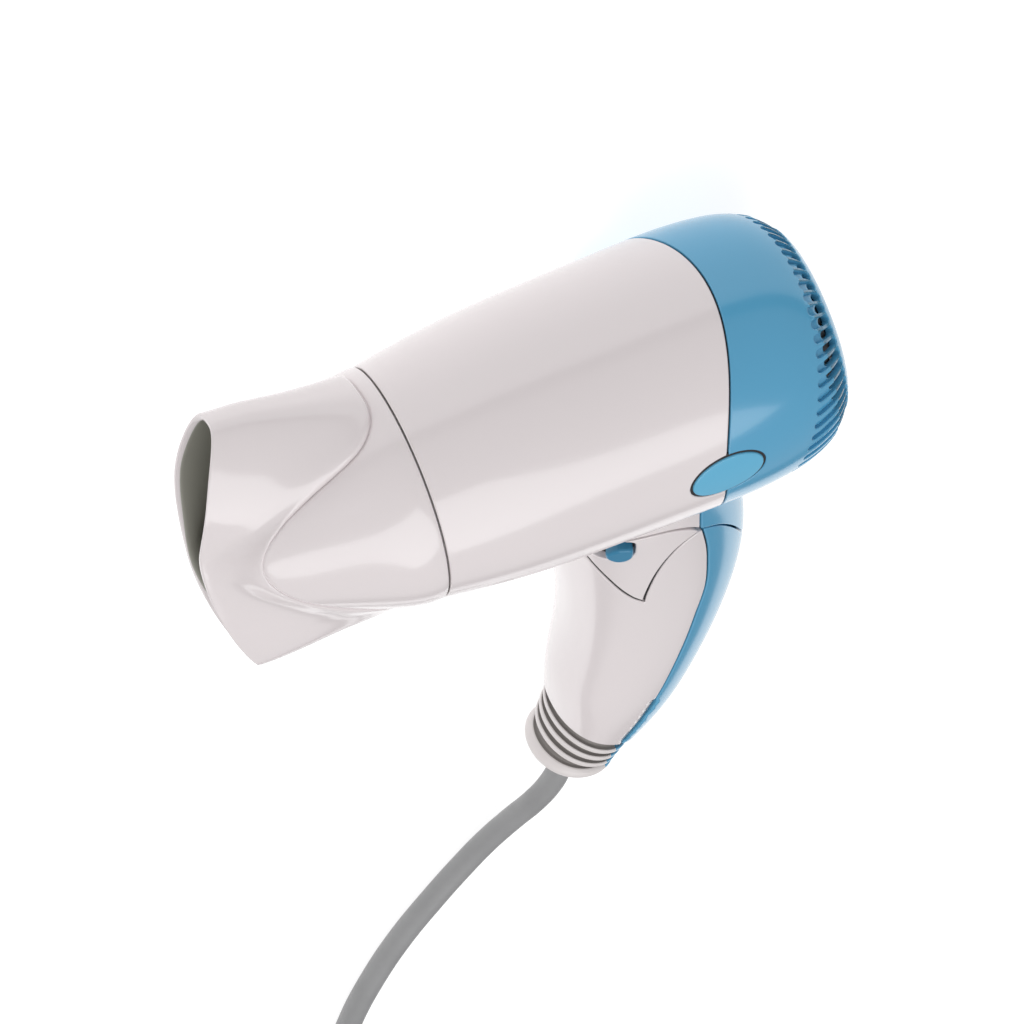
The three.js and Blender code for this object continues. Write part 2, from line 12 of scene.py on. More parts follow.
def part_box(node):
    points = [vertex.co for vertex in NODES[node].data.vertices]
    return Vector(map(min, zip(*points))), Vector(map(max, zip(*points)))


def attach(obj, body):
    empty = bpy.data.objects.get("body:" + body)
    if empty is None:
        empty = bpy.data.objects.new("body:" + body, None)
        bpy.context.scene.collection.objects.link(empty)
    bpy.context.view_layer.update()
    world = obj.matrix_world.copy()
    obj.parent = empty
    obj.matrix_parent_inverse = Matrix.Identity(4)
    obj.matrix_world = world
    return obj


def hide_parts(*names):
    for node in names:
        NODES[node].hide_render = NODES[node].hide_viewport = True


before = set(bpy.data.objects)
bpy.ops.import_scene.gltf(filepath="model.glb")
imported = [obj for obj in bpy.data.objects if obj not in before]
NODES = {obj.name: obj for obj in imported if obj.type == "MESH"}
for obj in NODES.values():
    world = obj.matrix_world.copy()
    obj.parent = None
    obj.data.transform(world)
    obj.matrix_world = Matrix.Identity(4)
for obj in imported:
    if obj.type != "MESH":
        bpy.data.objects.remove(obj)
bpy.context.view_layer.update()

# ------------------------------------------------------------------ frames
TURN = math.radians(81.3)
CT, ST = math.cos(TURN), math.sin(TURN)
_lo, _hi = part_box("mica_sleeve")
AXIS_Y, AXIS_Z = (_lo[1] + _hi[1]) / 2, (_lo[2] + _hi[2]) / 2
FRONT_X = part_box("barrel_shell")[1][0]


def row(p):
    """Dryer frame in mm to row frame in metres, for an array of points."""
    p = np.atleast_2d(np.asarray(p, float)) / 1000
    return np.column_stack([p[:, 0] + FRONT_X, p[:, 1] * CT - p[:, 2] * ST + AXIS_Y, p[:, 1] * ST + p[:, 2] * CT + AXIS_Z])


def row_dir(d):
    d = np.atleast_2d(np.asarray(d, float))
    return np.column_stack([d[:, 0], d[:, 1] * CT - d[:, 2] * ST, d[:, 1] * ST + d[:, 2] * CT])


def ground(p):
    """Floor frame in mm (Z = 0 is the floor) to row frame in metres."""
    p = np.atleast_2d(np.asarray(p, float)) / 1000
    return np.column_stack([p[:, 0] + FRONT_X, p[:, 1] + AXIS_Y, p[:, 2]])


# --------------------------------------------------------------- materials
def srgb(r, g, b):
    f = lambda c: c / 12.92 if c <= 0.04045 else ((c + 0.055) / 1.055) ** 2.4
    return (f(r / 255), f(g / 255), f(b / 255), 1.0)


def shade(c, k):
    return (c[0] * k, c[1] * k, c[2] * k, 1.0)


class Nodes:
    def __init__(self, name):
        self.mat = bpy.data.materials.new(name)
        self.mat.use_nodes = True
        self.nt = self.mat.node_tree
        self.bsdf = next(n for n in self.nt.nodes if n.type == "BSDF_PRINCIPLED")
        self.coord = self.nt.nodes.new("ShaderNodeTexCoord")

    def new(self, kind, **kw):
        n = self.nt.nodes.new(kind)
        for k, v in kw.items():
            setattr(n, k, v)
        return n

    def link(self, a, b):
        self.nt.links.new(a, b)

    def noise(self, scale, detail=3.0, rough=0.5, src=None):
        n = self.new("ShaderNodeTexNoise")
        n.inputs["Scale"].default_value = scale
        n.inputs["Detail"].default_value = detail
        n.inputs["Roughness"].default_value = rough
        self.link(src or self.coord.outputs["Object"], n.inputs["Vector"])
        return n.outputs["Fac"]

    def ramp(self, fac, stops, interp="LINEAR"):
        r = self.new("ShaderNodeValToRGB")
        r.color_ramp.interpolation = interp
        while len(r.color_ramp.elements) > len(stops):
            r.color_ramp.elements.remove(r.color_ramp.elements[-1])
        while len(r.color_ramp.elements) < len(stops):
            r.color_ramp.elements.new(0.5)
        for e, (p, c) in zip(r.color_ramp.elements, stops):
            e.position = p
            e.color = c if isinstance(c, tuple) else (c, c, c, 1.0)
        self.link(fac, r.inputs["Fac"])
        return r.outputs["Color"]

    def mix(self, fac, a, b, mode="MIX"):
        m = self.new("ShaderNodeMix", data_type="RGBA", blend_type=mode)
        if isinstance(fac, (int, float)):
            m.inputs[0].default_value = fac
        else:
            self.link(fac, m.inputs[0])
        for sock, v in ((m.inputs[6], a), (m.inputs[7], b)):
            if isinstance(v, tuple):
                sock.default_value = v
            else:
                self.link(v, sock)
        return m.outputs[2]

    def bump(self, height, strength, distance, normal=None):
        b = self.new("ShaderNodeBump")
        b.inputs["Strength"].default_value = strength
        b.inputs["Distance"].default_value = distance
        self.link(height, b.inputs["Height"])
        if normal is not None:
            self.link(normal, b.inputs["Normal"])
        return b.outputs["Normal"]

    def set(self, name, value):
        s = self.bsdf.inputs[name]
        if isinstance(value, (int, float, tuple)):
            s.default_value = value
        else:
            self.link(value, s)


def plastic(name, colour, rough=(0.2, 0.3), vary=0.03, grain=900.0, bump=0.02, depth=0.00004, coat=0.0, cavity_shade=0.0, ior=1.5):
    """Moulded plastic: a faint flow mottle in the colour, fine scuffs in the roughness, a very fine moulded grain."""
    n = Nodes(name)
    flow = n.noise(14, 3)
    col = n.ramp(flow, [(0.1, shade(colour, 1 - vary)), (0.9, shade(colour, 1 + vary * 0.5))])
    # optional darkening at concave edges (Pointiness): painted shade in hollows; no call sets it
    if cavity_shade:
        geo = n.new("ShaderNodeNewGeometry")
        edge = n.ramp(geo.outputs["Pointiness"], [(0.42, 1.0), (0.5, 0.0)])
        col = n.mix(edge, col, shade(colour, 1 - cavity_shade))
    n.set("Base Color", col)
    scuff = n.noise(36, 2, 0.45)
    n.set("Roughness", n.ramp(scuff, [(0.1, rough[0]), (0.9, rough[1])]))
    n.set("IOR", ior)
    if coat:
        n.set("Coat Weight", coat)
        n.set("Coat Roughness", 0.08)
    fine = n.noise(grain, 2)
    n.set("Normal", n.bump(fine, bump, depth))
    return n.mat


def metal(name, colour, rough=(0.25, 0.4), stretch=(1.0, 1.0, 1.0), scale=180.0):
    n = Nodes(name)
    m = n.new("ShaderNodeMapping")
    m.inputs["Scale"].default_value = stretch
    n.link(n.coord.outputs["Object"], m.inputs["Vector"])
    brush = n.noise(scale, 4, 0.6, m.outputs["Vector"])
    n.set("Base Color", n.ramp(brush, [(0.3, shade(colour, 0.85)), (0.7, colour)]))
    n.set("Metallic", 1.0)
    n.set("Roughness", n.ramp(brush, [(0.3, rough[1]), (0.7, rough[0])]))
    n.set("Normal", n.bump(brush, 0.08, 0.0001))
    return n.mat


WHITE_C = srgb(232, 224, 225)
BLUE_C = srgb(88, 165, 204)
M_WHITE = plastic("white_shell", WHITE_C, rough=(0.17, 0.20), vary=0.012, bump=0.006, coat=0.35)
M_BLUE = plastic("blue_shell", BLUE_C, rough=(0.17, 0.21), vary=0.02, bump=0.006, coat=0.35)
M_CAP = plastic("blue_cap", srgb(100, 180, 216), rough=(0.2, 0.28), vary=0.02, bump=0.01)
M_SWITCH = plastic("switch_blue", srgb(50, 128, 166), rough=(0.25, 0.38), vary=0.04, bump=0.03, grain=1400)
# near-black sheet material under seams, cap seats and the switch well: painted shade seen through the gaps
M_GAP_SHADE = plastic("seam_shadow", srgb(38, 36, 38), rough=(0.6, 0.8), vary=0.1, bump=0.05)
# darker grey for the inside of the nozzle: painted shade in the opening
M_INSIDE_SHADE = plastic("nozzle_inside_shade", srgb(176, 175, 165), rough=(0.45, 0.6), vary=0.05, bump=0.05, grain=600)
M_BLACK = plastic("black_plastic", srgb(30, 30, 31), rough=(0.38, 0.55), vary=0.15, bump=0.08, grain=700)
M_SLEEVE = plastic("sleeve_white", srgb(226, 220, 219), rough=(0.3, 0.42), vary=0.02, bump=0.02)
# darker grey and darker blue for the sleeve's grooves: painted shade in the grooves
M_GROOVE_SHADE = plastic("sleeve_groove_shade", srgb(134, 129, 126), rough=(0.5, 0.65), vary=0.04, bump=0.03)
M_BLUE_GROOVE_SHADE = plastic("sleeve_groove_blue_shade", srgb(48, 118, 152), rough=(0.4, 0.5), vary=0.04, bump=0.03)
M_PLUG = plastic("plug_grey", srgb(140, 141, 142), rough=(0.42, 0.55), vary=0.04, bump=0.06, grain=1600, depth=0.00008)
M_STEEL = metal("steel", srgb(200, 200, 202))
M_BRASS = metal("nickel_pin", srgb(206, 203, 196), rough=(0.18, 0.3))


def cord_material():
    """Grey PVC sheath: faint lengthwise drawing marks and a soft, slightly mottled matt skin."""
    n = Nodes("cord_grey")
    c = srgb(150, 150, 151)
    m = n.new("ShaderNodeMapping")
    m.inputs["Scale"].default_value = (60.0, 60.0, 60.0)
    n.link(n.coord.outputs["Object"], m.inputs["Vector"])
    f = n.noise(1.2, 4, 0.6, m.outputs["Vector"])
    n.set("Base Color", n.ramp(f, [(0.3, shade(c, 0.93)), (0.7, shade(c, 1.04))]))
    n.set("Roughness", n.ramp(n.noise(240, 3), [(0.3, 0.42), (0.7, 0.56)]))
    n.set("Normal", n.bump(n.noise(1500, 2), 0.05, 0.00005))
    return n.mat


def mica_material():
    n = Nodes("mica")
    c = srgb(186, 170, 140)
    v = n.new("ShaderNodeTexVoronoi")
    v.inputs["Scale"].default_value = 380
    n.link(n.coord.outputs["Object"], v.inputs["Vector"])
    n.set("Base Color", n.mix(n.ramp(v.outputs["Distance"], [(0.1, 0.0), (0.9, 1.0)]), shade(c, 0.72), shade(c, 1.1)))
    n.set("Roughness", n.ramp(n.noise(200), [(0.3, 0.3), (0.7, 0.5)]))
    n.set("Normal", n.bump(v.outputs["Distance"], 0.15, 0.0001))
    return n.mat


def mesh_material():
    """Black dust mesh: woven wires from two crossed waves."""
    n = Nodes("dust_mesh")
    waves = []
    for axis in ("Y", "Z"):
        w = n.new("ShaderNodeTexWave", wave_type="BANDS", bands_direction=axis)
        w.inputs["Scale"].default_value = 130.0
        n.link(n.coord.outputs["Object"], w.inputs["Vector"])
        waves.append(w.outputs["Fac"])
    mx = n.new("ShaderNodeMath", operation="MAXIMUM")
    n.link(waves[0], mx.inputs[0])
    n.link(waves[1], mx.inputs[1])
    n.set("Base Color", n.ramp(mx.outputs[0], [(0.5, srgb(12, 12, 13)), (0.85, srgb(74, 75, 78))]))
    n.set("Roughness", n.ramp(mx.outputs[0], [(0.4, 0.7), (0.9, 0.4)]))
    n.set("Normal", n.bump(mx.outputs[0], 0.4, 0.0003))
    return n.mat


def wire_material():
    n = Nodes("heater_wire")
    w = n.new("ShaderNodeTexWave", wave_type="BANDS", bands_direction="X")
    w.inputs["Scale"].default_value = 260.0
    n.link(n.coord.outputs["Object"], w.inputs["Vector"])
    n.set("Base Color", n.ramp(w.outputs["Fac"], [(0.2, srgb(70, 60, 55)), (0.8, srgb(170, 150, 138))]))
    n.set("Metallic", 1.0)
    n.set("Roughness", n.ramp(w.outputs["Fac"], [(0.2, 0.6), (0.8, 0.35)]))
    n.set("Normal", n.bump(w.outputs["Fac"], 0.8, 0.0008))
    return n.mat


M_CORD = cord_material()
M_MICA = mica_material()
M_MESH = mesh_material()
M_WIRE = wire_material()

# ------------------------------------------------------------ mesh helpers
PIECES = {}


def add_mesh(name, verts, faces, mats, body, slot, normals=None, face_mat=None, replaces=(), world=False):
    """verts in the dryer frame (mm); normals, if given, one per vertex in the same frame."""
    me = bpy.data.meshes.new(name)
    me.from_pydata((np.asarray(verts) if world else row(verts)).tolist(), [], [list(map(int, f)) for f in faces])
    me.polygons.foreach_set("use_smooth", [True] * len(me.polygons))
    for m in mats if isinstance(mats, (list, tuple)) else [mats]:
        me.materials.append(m)
    if face_mat is not None:
        me.polygons.foreach_set("material_index", [int(v) for v in face_mat])
    me.update()
    if normals is not None:
        n = np.asarray(normals) if world else row_dir(normals)
        n = n / np.maximum(np.linalg.norm(n, axis=1, keepdims=True), 1e-9)
        me.normals_split_custom_set_from_vertices(n.tolist())
    ob = bpy.data.objects.new(name, me)
    bpy.context.scene.collection.objects.link(ob)
    PIECES[name] = (ob, body, slot, tuple(replaces))
    return ob


def spline(xs, ys):
    """Natural cubic spline through the points, as a function of an array."""
    xs, ys = np.asarray(xs, float), np.asarray(ys, float)
    n = len(xs)
    h = np.diff(xs)
    A, B = np.zeros((n, n)), np.zeros(n)
    A[0, 0] = A[-1, -1] = 1
    for i in range(1, n - 1):
        A[i, i - 1], A[i, i], A[i, i + 1] = h[i - 1], 2 * (h[i - 1] + h[i]), h[i]
        B[i] = 6 * ((ys[i + 1] - ys[i]) / h[i] - (ys[i] - ys[i - 1]) / h[i - 1])
    M = np.linalg.solve(A, B)

    def f(x):
        x = np.asarray(x, float)
        i = np.clip(np.searchsorted(xs, x) - 1, 0, n - 2)
        d, e = xs[i + 1] - x, x - xs[i]
        y = (M[i] * d ** 3 + M[i + 1] * e ** 3) / (6 * h[i]) + (ys[i] / h[i] - M[i] * h[i] / 6) * d + (ys[i + 1] / h[i] - M[i + 1] * h[i] / 6) * e
        y = np.where(x < xs[0], ys[0] + (x - xs[0]) * ((ys[1] - ys[0]) / h[0] - h[0] * (M[1]) / 6), y)
        return np.where(x > xs[-1], ys[-1] + (x - xs[-1]) * ((ys[-1] - ys[-2]) / h[-1] + h[-1] * (M[-2]) / 6), y)

    return f


def resample(pts, step, closed=True):
    """Even points along a polyline."""
    pts = np.asarray(pts, float)
    if closed:
        pts = np.vstack([pts, pts[:1]])
    d = np.r_[0, np.cumsum(np.linalg.norm(np.diff(pts, axis=0), axis=1))]
    n = max(4, int(round(d[-1] / step)))
    t = np.linspace(0, d[-1], n + 1)[: -1 if closed else None]
    return np.column_stack([np.interp(t, d, pts[:, i]) for i in range(pts.shape[1])])


def curve(pts, step=0.5):
    """Smooth open curve through the points (Catmull-Rom), evenly sampled."""
    p = np.asarray(pts, float)
    if len(p) < 3:
        return resample(p, step, closed=False)
    d = np.r_[0, np.cumsum(np.linalg.norm(np.diff(p, axis=0), axis=1))]
    fs = [spline(d, p[:, i]) for i in range(p.shape[1])]
    t = np.linspace(0, d[-1], max(8, int(d[-1] / (step * 0.4))))
    return resample(np.column_stack([f(t) for f in fs]), step, closed=False)


def inside(poly, pts):
    x, y = pts[:, 0], pts[:, 1]
    out = np.zeros(len(pts), bool)
    n = len(poly)
    j = n - 1
    for i in range(n):
        xi, yi = poly[i]
        xj, yj = poly[j]
        if yi != yj:
            c = ((yi > y) != (yj > y)) & (x < (xj - xi) * (y - yi) / (yj - yi) + xi)
            out ^= c
        j = i
    return out


def nearest(tree, pts):
    idx = np.empty(len(pts), int)
    dist = np.empty(len(pts))
    for i, p in enumerate(pts):
        _, k, d = tree.find(p)
        idx[i], dist[i] = k, d
    return idx, dist


def patch(surf, loops, h=1.6, r=0.45, depth=2.0, plain=None, centre=True):
    """A shell patch of a surface: surf(uv) -> points, outward normals (Su x Sv). The first loop is the outline
    (anticlockwise), the others are holes (clockwise). Its edges are rounded with radius r and turn inwards by depth;
    plain(uv) says which outline points keep a plain edge (a join that is welded later).
    Returns verts, normals, faces of a closed shell (open only along plain edges)."""
    loops = [np.asarray(l, float) for l in loops]
    B = np.vstack(loops)
    nb = len(B)
    ids, start = [], 0
    for l in loops:
        ids.append(np.arange(start, start + len(l)))
        start += len(l)
    PB, NB = surf(B)
    TB, TU = np.zeros_like(PB), np.zeros_like(B)
    for k in ids:
        TB[k] = np.roll(PB[k], -1, 0) - np.roll(PB[k], 1, 0)
        TU[k] = np.roll(B[k], -1, 0) - np.roll(B[k], 1, 0)
    TB /= np.maximum(np.linalg.norm(TB, axis=1, keepdims=True), 1e-9)
    TU /= np.maximum(np.linalg.norm(TU, axis=1, keepdims=True), 1e-9)
    OB = np.cross(TB, NB)
    isplain = plain(B) if plain is not None else np.zeros(nb, bool)
    # dense samples of the rounded edges, for distances
    DS, DI = [], []
    for k in ids:
        a, b = PB[k], PB[np.roll(k, -1)]
        keep = ~(isplain[k] & isplain[np.roll(k, -1)])
        for t in (0.0, 0.25, 0.5, 0.75):
            DS.append((a + (b - a) * t)[keep])
            DI.append(np.where(t < 0.5, k, np.roll(k, -1))[keep])
    DS, DI = np.vstack(DS), np.concatenate(DI)
    tree = KDTree(len(DS))
    for i, p in enumerate(DS):
        tree.insert(p, i)
    tree.balance()
    inw = np.column_stack([-TU[:, 1], TU[:, 0]])
    extra = []
    if r > 0:
        for d in (0.12, 0.35, 0.65, 1.0, 1.9):
            q = (B + inw * d * r)[~isplain][:: 1 if d < 1.5 else 2]
            q = q[inside(loops[0], q)]
            P, _ = surf(q)
            _, dd = nearest(tree, P)
            extra.append(q[dd > 0.85 * d * r])
    lo, hi = B.min(0), B.max(0)
    gy = np.arange(lo[1] + h / 2, hi[1], h * 0.87)
    gx = np.arange(lo[0] + h / 2, hi[0], h)
    G = np.array([(x + (h / 2 if j % 2 else 0), y) for j, y in enumerate(gy) for x in gx]) if len(gx) and len(gy) else np.zeros((0, 2))
    if len(G):
        G = G[inside(loops[0], G)]
        for l in loops[1:]:
            G = G[~inside(l, G)]
    if len(G):
        P, _ = surf(G)
        _, dd = nearest(tree, P)
        G = G[dd > max(1.9 * r + 0.35 * h, 0.45 * h)]
        if plain is not None and isplain.any():
            bt = KDTree(nb)
            for i, p in enumerate(PB):
                bt.insert(p, i)
            bt.balance()
            P, _ = surf(G)
            _, dd = nearest(bt, P)
            G = G[dd > 0.45 * h]
    uv = np.vstack([B] + extra + [G])
    edges = []
    for k in ids:
        edges += [(int(a), int(b)) for a, b in zip(k, np.roll(k, -1))]
    out = delaunay_2d_cdt([Vector(p) for p in uv], edges, [], 0, 1e-6)
    V = np.array([tuple(p) for p in out[0]])
    F = np.array([f for f in out[2] if len(f) == 3])
    c = V[F].mean(1)
    ok = inside(loops[0], c)
    for l in loops[1:]:
        ok &= ~inside(l, c)
    F = F[ok]
    # orientation anticlockwise
    a = V[F[:, 1]] - V[F[:, 0]]
    b = V[F[:, 2]] - V[F[:, 0]]
    flip = (a[:, 0] * b[:, 1] - a[:, 1] * b[:, 0]) < 0
    F[flip] = F[flip][:, ::-1]
    back_id = {}
    for i, orig in enumerate(out[3]):
        for o in orig:
            if o < nb:
                back_id[o] = i
    P, N = surf(V)
    ki, dd = nearest(tree, P)
    edge = DI[ki]
    dvec = P - PB[edge]
    T = TB[edge]
    dperp = np.linalg.norm(dvec - (dvec * T).sum(1, keepdims=True) * T, axis=1)
    d = np.minimum(dd, np.maximum(dperp, 0) + 0.02)
    if r > 0:
        for i in back_id:
            if not isplain[i]:
                d[back_id[i]] = 0
        near = d < r
        s = np.where(near, (r - d) / r, 0.0)
        drop = r - np.sqrt(np.maximum(r * r - (s * r) ** 2, 0))
        O = OB[edge]
        NN = N * np.sqrt(np.maximum(1 - s * s, 0))[:, None] + O * s[:, None]
        PP = P - N * drop[:, None]
    else:
        PP, NN = P, N
    inner = P - N * depth
    nv = len(V)
    verts = [PP, inner]
    norms = [NN, -N]
    faces = [F, F[:, ::-1] + nv]
    # walls
    wall_f = []
    base = 2 * nv
    wv, wn = [], []
    cnt = 0
    for k in ids:
        m = len(k)
        vi = np.array([back_id[i] for i in k])
        top, bot = PP[vi], inner[vi]
        o = OB[k]
        wv += [top, bot]
        wn += [o, o]
        for i in range(m):
            j = (i + 1) % m
            if isplain[k[i]] and isplain[k[j]]:
                continue
            wall_f.append([base + cnt + i, base + cnt + m + i, base + cnt + m + j, base + cnt + j])
        cnt += 2 * m
    verts = np.vstack(verts + wv)
    norms = np.vstack(norms + wn)
    flist = [list(f) for f in faces[0]] + [list(f) for f in faces[1]] + wall_f
    return verts, norms, flist


def join_parts(parts):
    V, N, F, M = [], [], [], []
    off = 0
    for p in parts:
        v, n, f = p[:3]
        m = p[3] if len(p) > 3 else 0
        V.append(v)
        N.append(n)
        F += [[i + off for i in q] for q in f]
        M += [m] * len(f) if np.isscalar(m) else list(m)
        off += len(v)
    return np.vstack(V), np.vstack(N), F, M


def grid_faces(nr, nc, closed=True, off=0, flip=False):
    f = []
    for i in range(nr - 1):
        for j in range(nc if closed else nc - 1):
            a, b = off + i * nc + j, off + i * nc + (j + 1) % nc
            c, d = b + nc, a + nc
            f.append([a, b, c, d] if not flip else [a, d, c, b])
    return f


# ------------------------------------------------------- camera and lights
def dryer_to_row_matrix(right, up, back):
    r, u, b = (row_dir(v)[0] for v in (right, up, back))
    m = Matrix([[r[0], u[0], b[0]], [r[1], u[1], b[1]], [r[2], u[2], b[2]]])
    return m


back = np.array([0.198, 0.460, 0.865])
back /= np.linalg.norm(back)
right = np.array([-0.9098, 0.4146, -0.0124])
right -= back * (right @ back)
right /= np.linalg.norm(right)
up = np.cross(back, right)
rot = dryer_to_row_matrix(right, up, back)
target = row([-25.1, 19.25, -4.5])[0]
cam_data = bpy.data.cameras.new("camera")
cam_data.lens = 1000.0
cam_data.sensor_width = 36.0
cam_data.clip_start = 0.5
cam_data.clip_end = 50.0
cam = bpy.data.objects.new("camera", cam_data)
bpy.context.scene.collection.objects.link(cam)
cam.rotation_mode = "QUATERNION"
cam.rotation_quaternion = rot.to_quaternion()
cam.location = Vector(target) + Vector(row_dir(back)[0]) * 7.79
bpy.context.scene.camera = cam
bpy.context.scene.view_settings.view_transform = "Standard"
bpy.context.scene.view_settings.look = "None"


def floor_material():
    n = Nodes("pale_floor")
    f = n.noise(6, 3)
    n.set("Base Color", n.ramp(f, [(0.3, (0.30, 0.30, 0.30, 1.0)), (0.7, (0.32, 0.32, 0.32, 1.0))]))
    n.set("Roughness", n.ramp(n.noise(300, 2), [(0.3, 0.8), (0.7, 0.9)]))
    n.set("Emission Color", (1.0, 1.0, 1.0, 1.0))
    n.set("Emission Strength", 0.86)
    return n.mat


me = bpy.data.meshes.new("floor")
s = 30.0
me.from_pydata([(-s, -s, -0.0004), (s, -s, -0.0004), (s, s, -0.0004), (-s, s, -0.0004)], [], [(0, 1, 2, 3)])
me.materials.append(floor_material())
floor = bpy.data.objects.new("floor", me)
bpy.context.scene.collection.objects.link(floor)

world = bpy.data.worlds.new("studio")
bpy.context.scene.world = world
world.use_nodes = True
bg = world.node_tree.nodes["Background"]
# soft studio: a dim band at the horizon, a bright ceiling
wn = world.node_tree.nodes
w_co = wn.new("ShaderNodeTexCoord")
w_sep = wn.new("ShaderNodeSeparateXYZ")
w_ramp = wn.new("ShaderNodeValToRGB")
w_ramp.color_ramp.elements[0].position = 0.15
w_ramp.color_ramp.elements[0].color = (0.16, 0.16, 0.165, 1)
w_ramp.color_ramp.elements[1].position = 0.23
w_ramp.color_ramp.elements[1].color = (1, 1, 1, 1)
world.node_tree.links.new(w_co.outputs["Generated"], w_sep.inputs[0])
world.node_tree.links.new(w_sep.outputs["Z"], w_ramp.inputs["Fac"])
world.node_tree.links.new(w_ramp.outputs["Color"], bg.inputs["Color"])
bg.inputs["Strength"].default_value = 0.50


def area(name, towards, dist, size, power, colour=(1, 1, 1), size_y=None):
    """Soft box: towards is the direction from the dryer to the light, in the row frame."""
    d = Vector(towards).normalized()
    data = bpy.data.lights.new(name, "AREA")
    data.shape = "RECTANGLE"
    data.size = size
    data.size_y = size_y or size
    data.energy = power
    data.color = colour
    ob = bpy.data.objects.new(name, data)
    bpy.context.scene.collection.objects.link(ob)
    ob.location = Vector(target) + d * dist
    ob.rotation_mode = "QUATERNION"
    ob.rotation_quaternion = d.to_track_quat("Z", "Y")
    return ob


area("key_light", row_dir([0.12, 1.0, 0.06])[0], 1.7, 1.5, 16)
area("front_light", row_dir([0.9, 0.25, 0.5])[0], 2.2, 2.2, 3)

# ------------------------------------------------------------------- cord
CORD_D = 7.0
LEAD = [[-47.4, 181.6, 12.7], [-45.6, 187.5, 12.5], [-42.4, 194.6, 11.6], [-37.6, 202.0, 9.7], [-31.4, 209.8, 6.9], [-23.6, 218.8, 4.4],
        [-15.4, 227.0, 3.6], [-6.0, 236.0, 3.55], [4.4, 247.0, 3.55], [14.0, 260.0, 3.55], [22.6, 275.4, 3.55], [29.2, 294.0, 3.55],
        [33.2, 316.0, 3.7], [34.9, 337.4, 4.5]]
TAIL = [[-33.5, 415.4, 5.0], [-44, 415.4, 4.0], [-55, 412.6, 3.9], [-65.5, 408.0, 5.2], [-75.2, 403.2, 7.0]]
COIL = (-10.5, 366.0)


def coil_points(per_turn=18, turns=6.2):
    out = []
    n = int(per_turn * turns)
    radii = [45.5, 38.5, 31.5, 31.5, 38.5, 45.5, 45.5]
    for i in range(n + 1):
        t = i / per_turn
        k = min(int(t), 5)
        f = t - k
        e = 0.0 if f < 0.72 else (1 - math.cos(math.pi * min(1.0, (f - 0.72) / 0.28))) / 2
        r = radii[k] + (radii[k + 1] - radii[k]) * e
        if k < 2:
            z = 4.6
        elif k == 2:
            z = 4.6 + 7.0 * (0.0 if f < 0.5 else (1 - math.cos(math.pi * (f - 0.5) / 0.5)) / 2)
        else:
            z = 11.6
        if k == 5 and f > 0.97:
            z = 11.6
        a = 2 * math.pi * t
        out.append([COIL[0] + r * math.cos(a), COIL[1] + r * math.sin(a), z])
    return out


def make_cord():
    pts = LEAD + [[35.1, 352.0, 4.6]] + coil_points() + [[-13.0, 413.2, 9.4], [-23.5, 415.0, 6.6]] + TAIL
    p = ground(pts)
    cu = bpy.data.curves.new("mains_lead", "CURVE")
    cu.dimensions = "3D"
    cu.bevel_depth = CORD_D / 2000
    cu.bevel_resolution = 5
    cu.resolution_u = 6
    cu.use_fill_caps = True
    sp = cu.splines.new("BEZIER")
    sp.bezier_points.add(len(p) - 1)
    for bp, c in zip(sp.bezier_points, p):
        bp.co = c
        bp.handle_left_type = bp.handle_right_type = "AUTO"
    cu.materials.append(M_CORD)
    ob = bpy.data.objects.new("mains_lead", cu)
    bpy.context.scene.collection.objects.link(ob)
    return ob


lead = make_cord()

# ------------------------------------------------------------------ barrel
PROFILE = [(0, 34.0), (-7, 35.0), (-12.6, 35.9), (-19.6, 36.5), (-28, 37.25), (-38, 37.7), (-43.6, 38.1), (-55.9, 38.4), (-70, 38.5), (-84, 38.6),
           (-95, 38.3), (-103, 37.6), (-109.3, 36.2), (-113.2, 34.9), (-116.6, 33.2), (-119.4, 31.2), (-121.8, 28.6), (-123.6, 25.8), (-124.7, 23.0), (-125, 20.5)]
_p = np.array(PROFILE, float)
_p[:13, 1] = np.polyval(np.polyfit(_p[:13, 0], _p[:13, 1], 5), _p[:13, 0])
_s = np.r_[0, np.cumsum(np.linalg.norm(np.diff(_p, axis=0), axis=1))]
_fx, _fr = spline(_s, _p[:, 0]), spline(_s, _p[:, 1])
_tab = np.linspace(0, _s[-1], 1600)
_tx, _tr = np.minimum.accumulate(_fx(_tab)), _fr(_tab)
R0 = 38.0


def V_of_x(x):
    return np.interp(-np.asarray(x, float), -_tx, _tab)


def R_of_x(x):
    return np.interp(-np.asarray(x, float), -_tx, _tr)


def barrel_surf(lift=0.0):
    def f(uv):
        uv = np.asarray(uv, float)
        phi, v = uv[:, 0] / R0, uv[:, 1]
        x, r = _fx(v), _fr(v)
        e = 0.05
        dx, dr = _fx(v + e) - _fx(v - e), _fr(v + e) - _fr(v - e)
        l = np.hypot(dx, dr)
        nx, nr = dr / l, -dx / l
        s, c = np.sin(phi), np.cos(phi)
        N = np.column_stack([nx, nr * s, nr * c])
        P = np.column_stack([x, r * s, r * c]) + N * lift
        return P, N
    return f


GAP = 0.5
U1 = math.pi * R0


def seam_v(u):
    z = 38.6 * np.cos(np.asarray(u) / R0)
    return V_of_x(-(80.8 + 12.7 * np.where(z > 0, (z / 38.6) ** 2, 0.0)))


CAP_U = R0 * (math.pi / 2 - 4.4 / 38.5)
CAP_V = float(V_of_x(-81.7))


def oval(side, grow=0.0, n=120, back_to_front=False):
    t = np.linspace(0, 2 * math.pi, n, endpoint=False)
    a, b = 10.6 + grow, 6.9 + grow
    dx, dh = a * np.cos(t), b * np.sin(t)
    w = math.radians(-5)
    ex, eh = dx * math.cos(w) - dh * math.sin(w), dx * math.sin(w) + dh * math.cos(w)
    u, v = CAP_U - eh, CAP_V - ex
    return np.column_stack([u if side > 0 else -u, v])


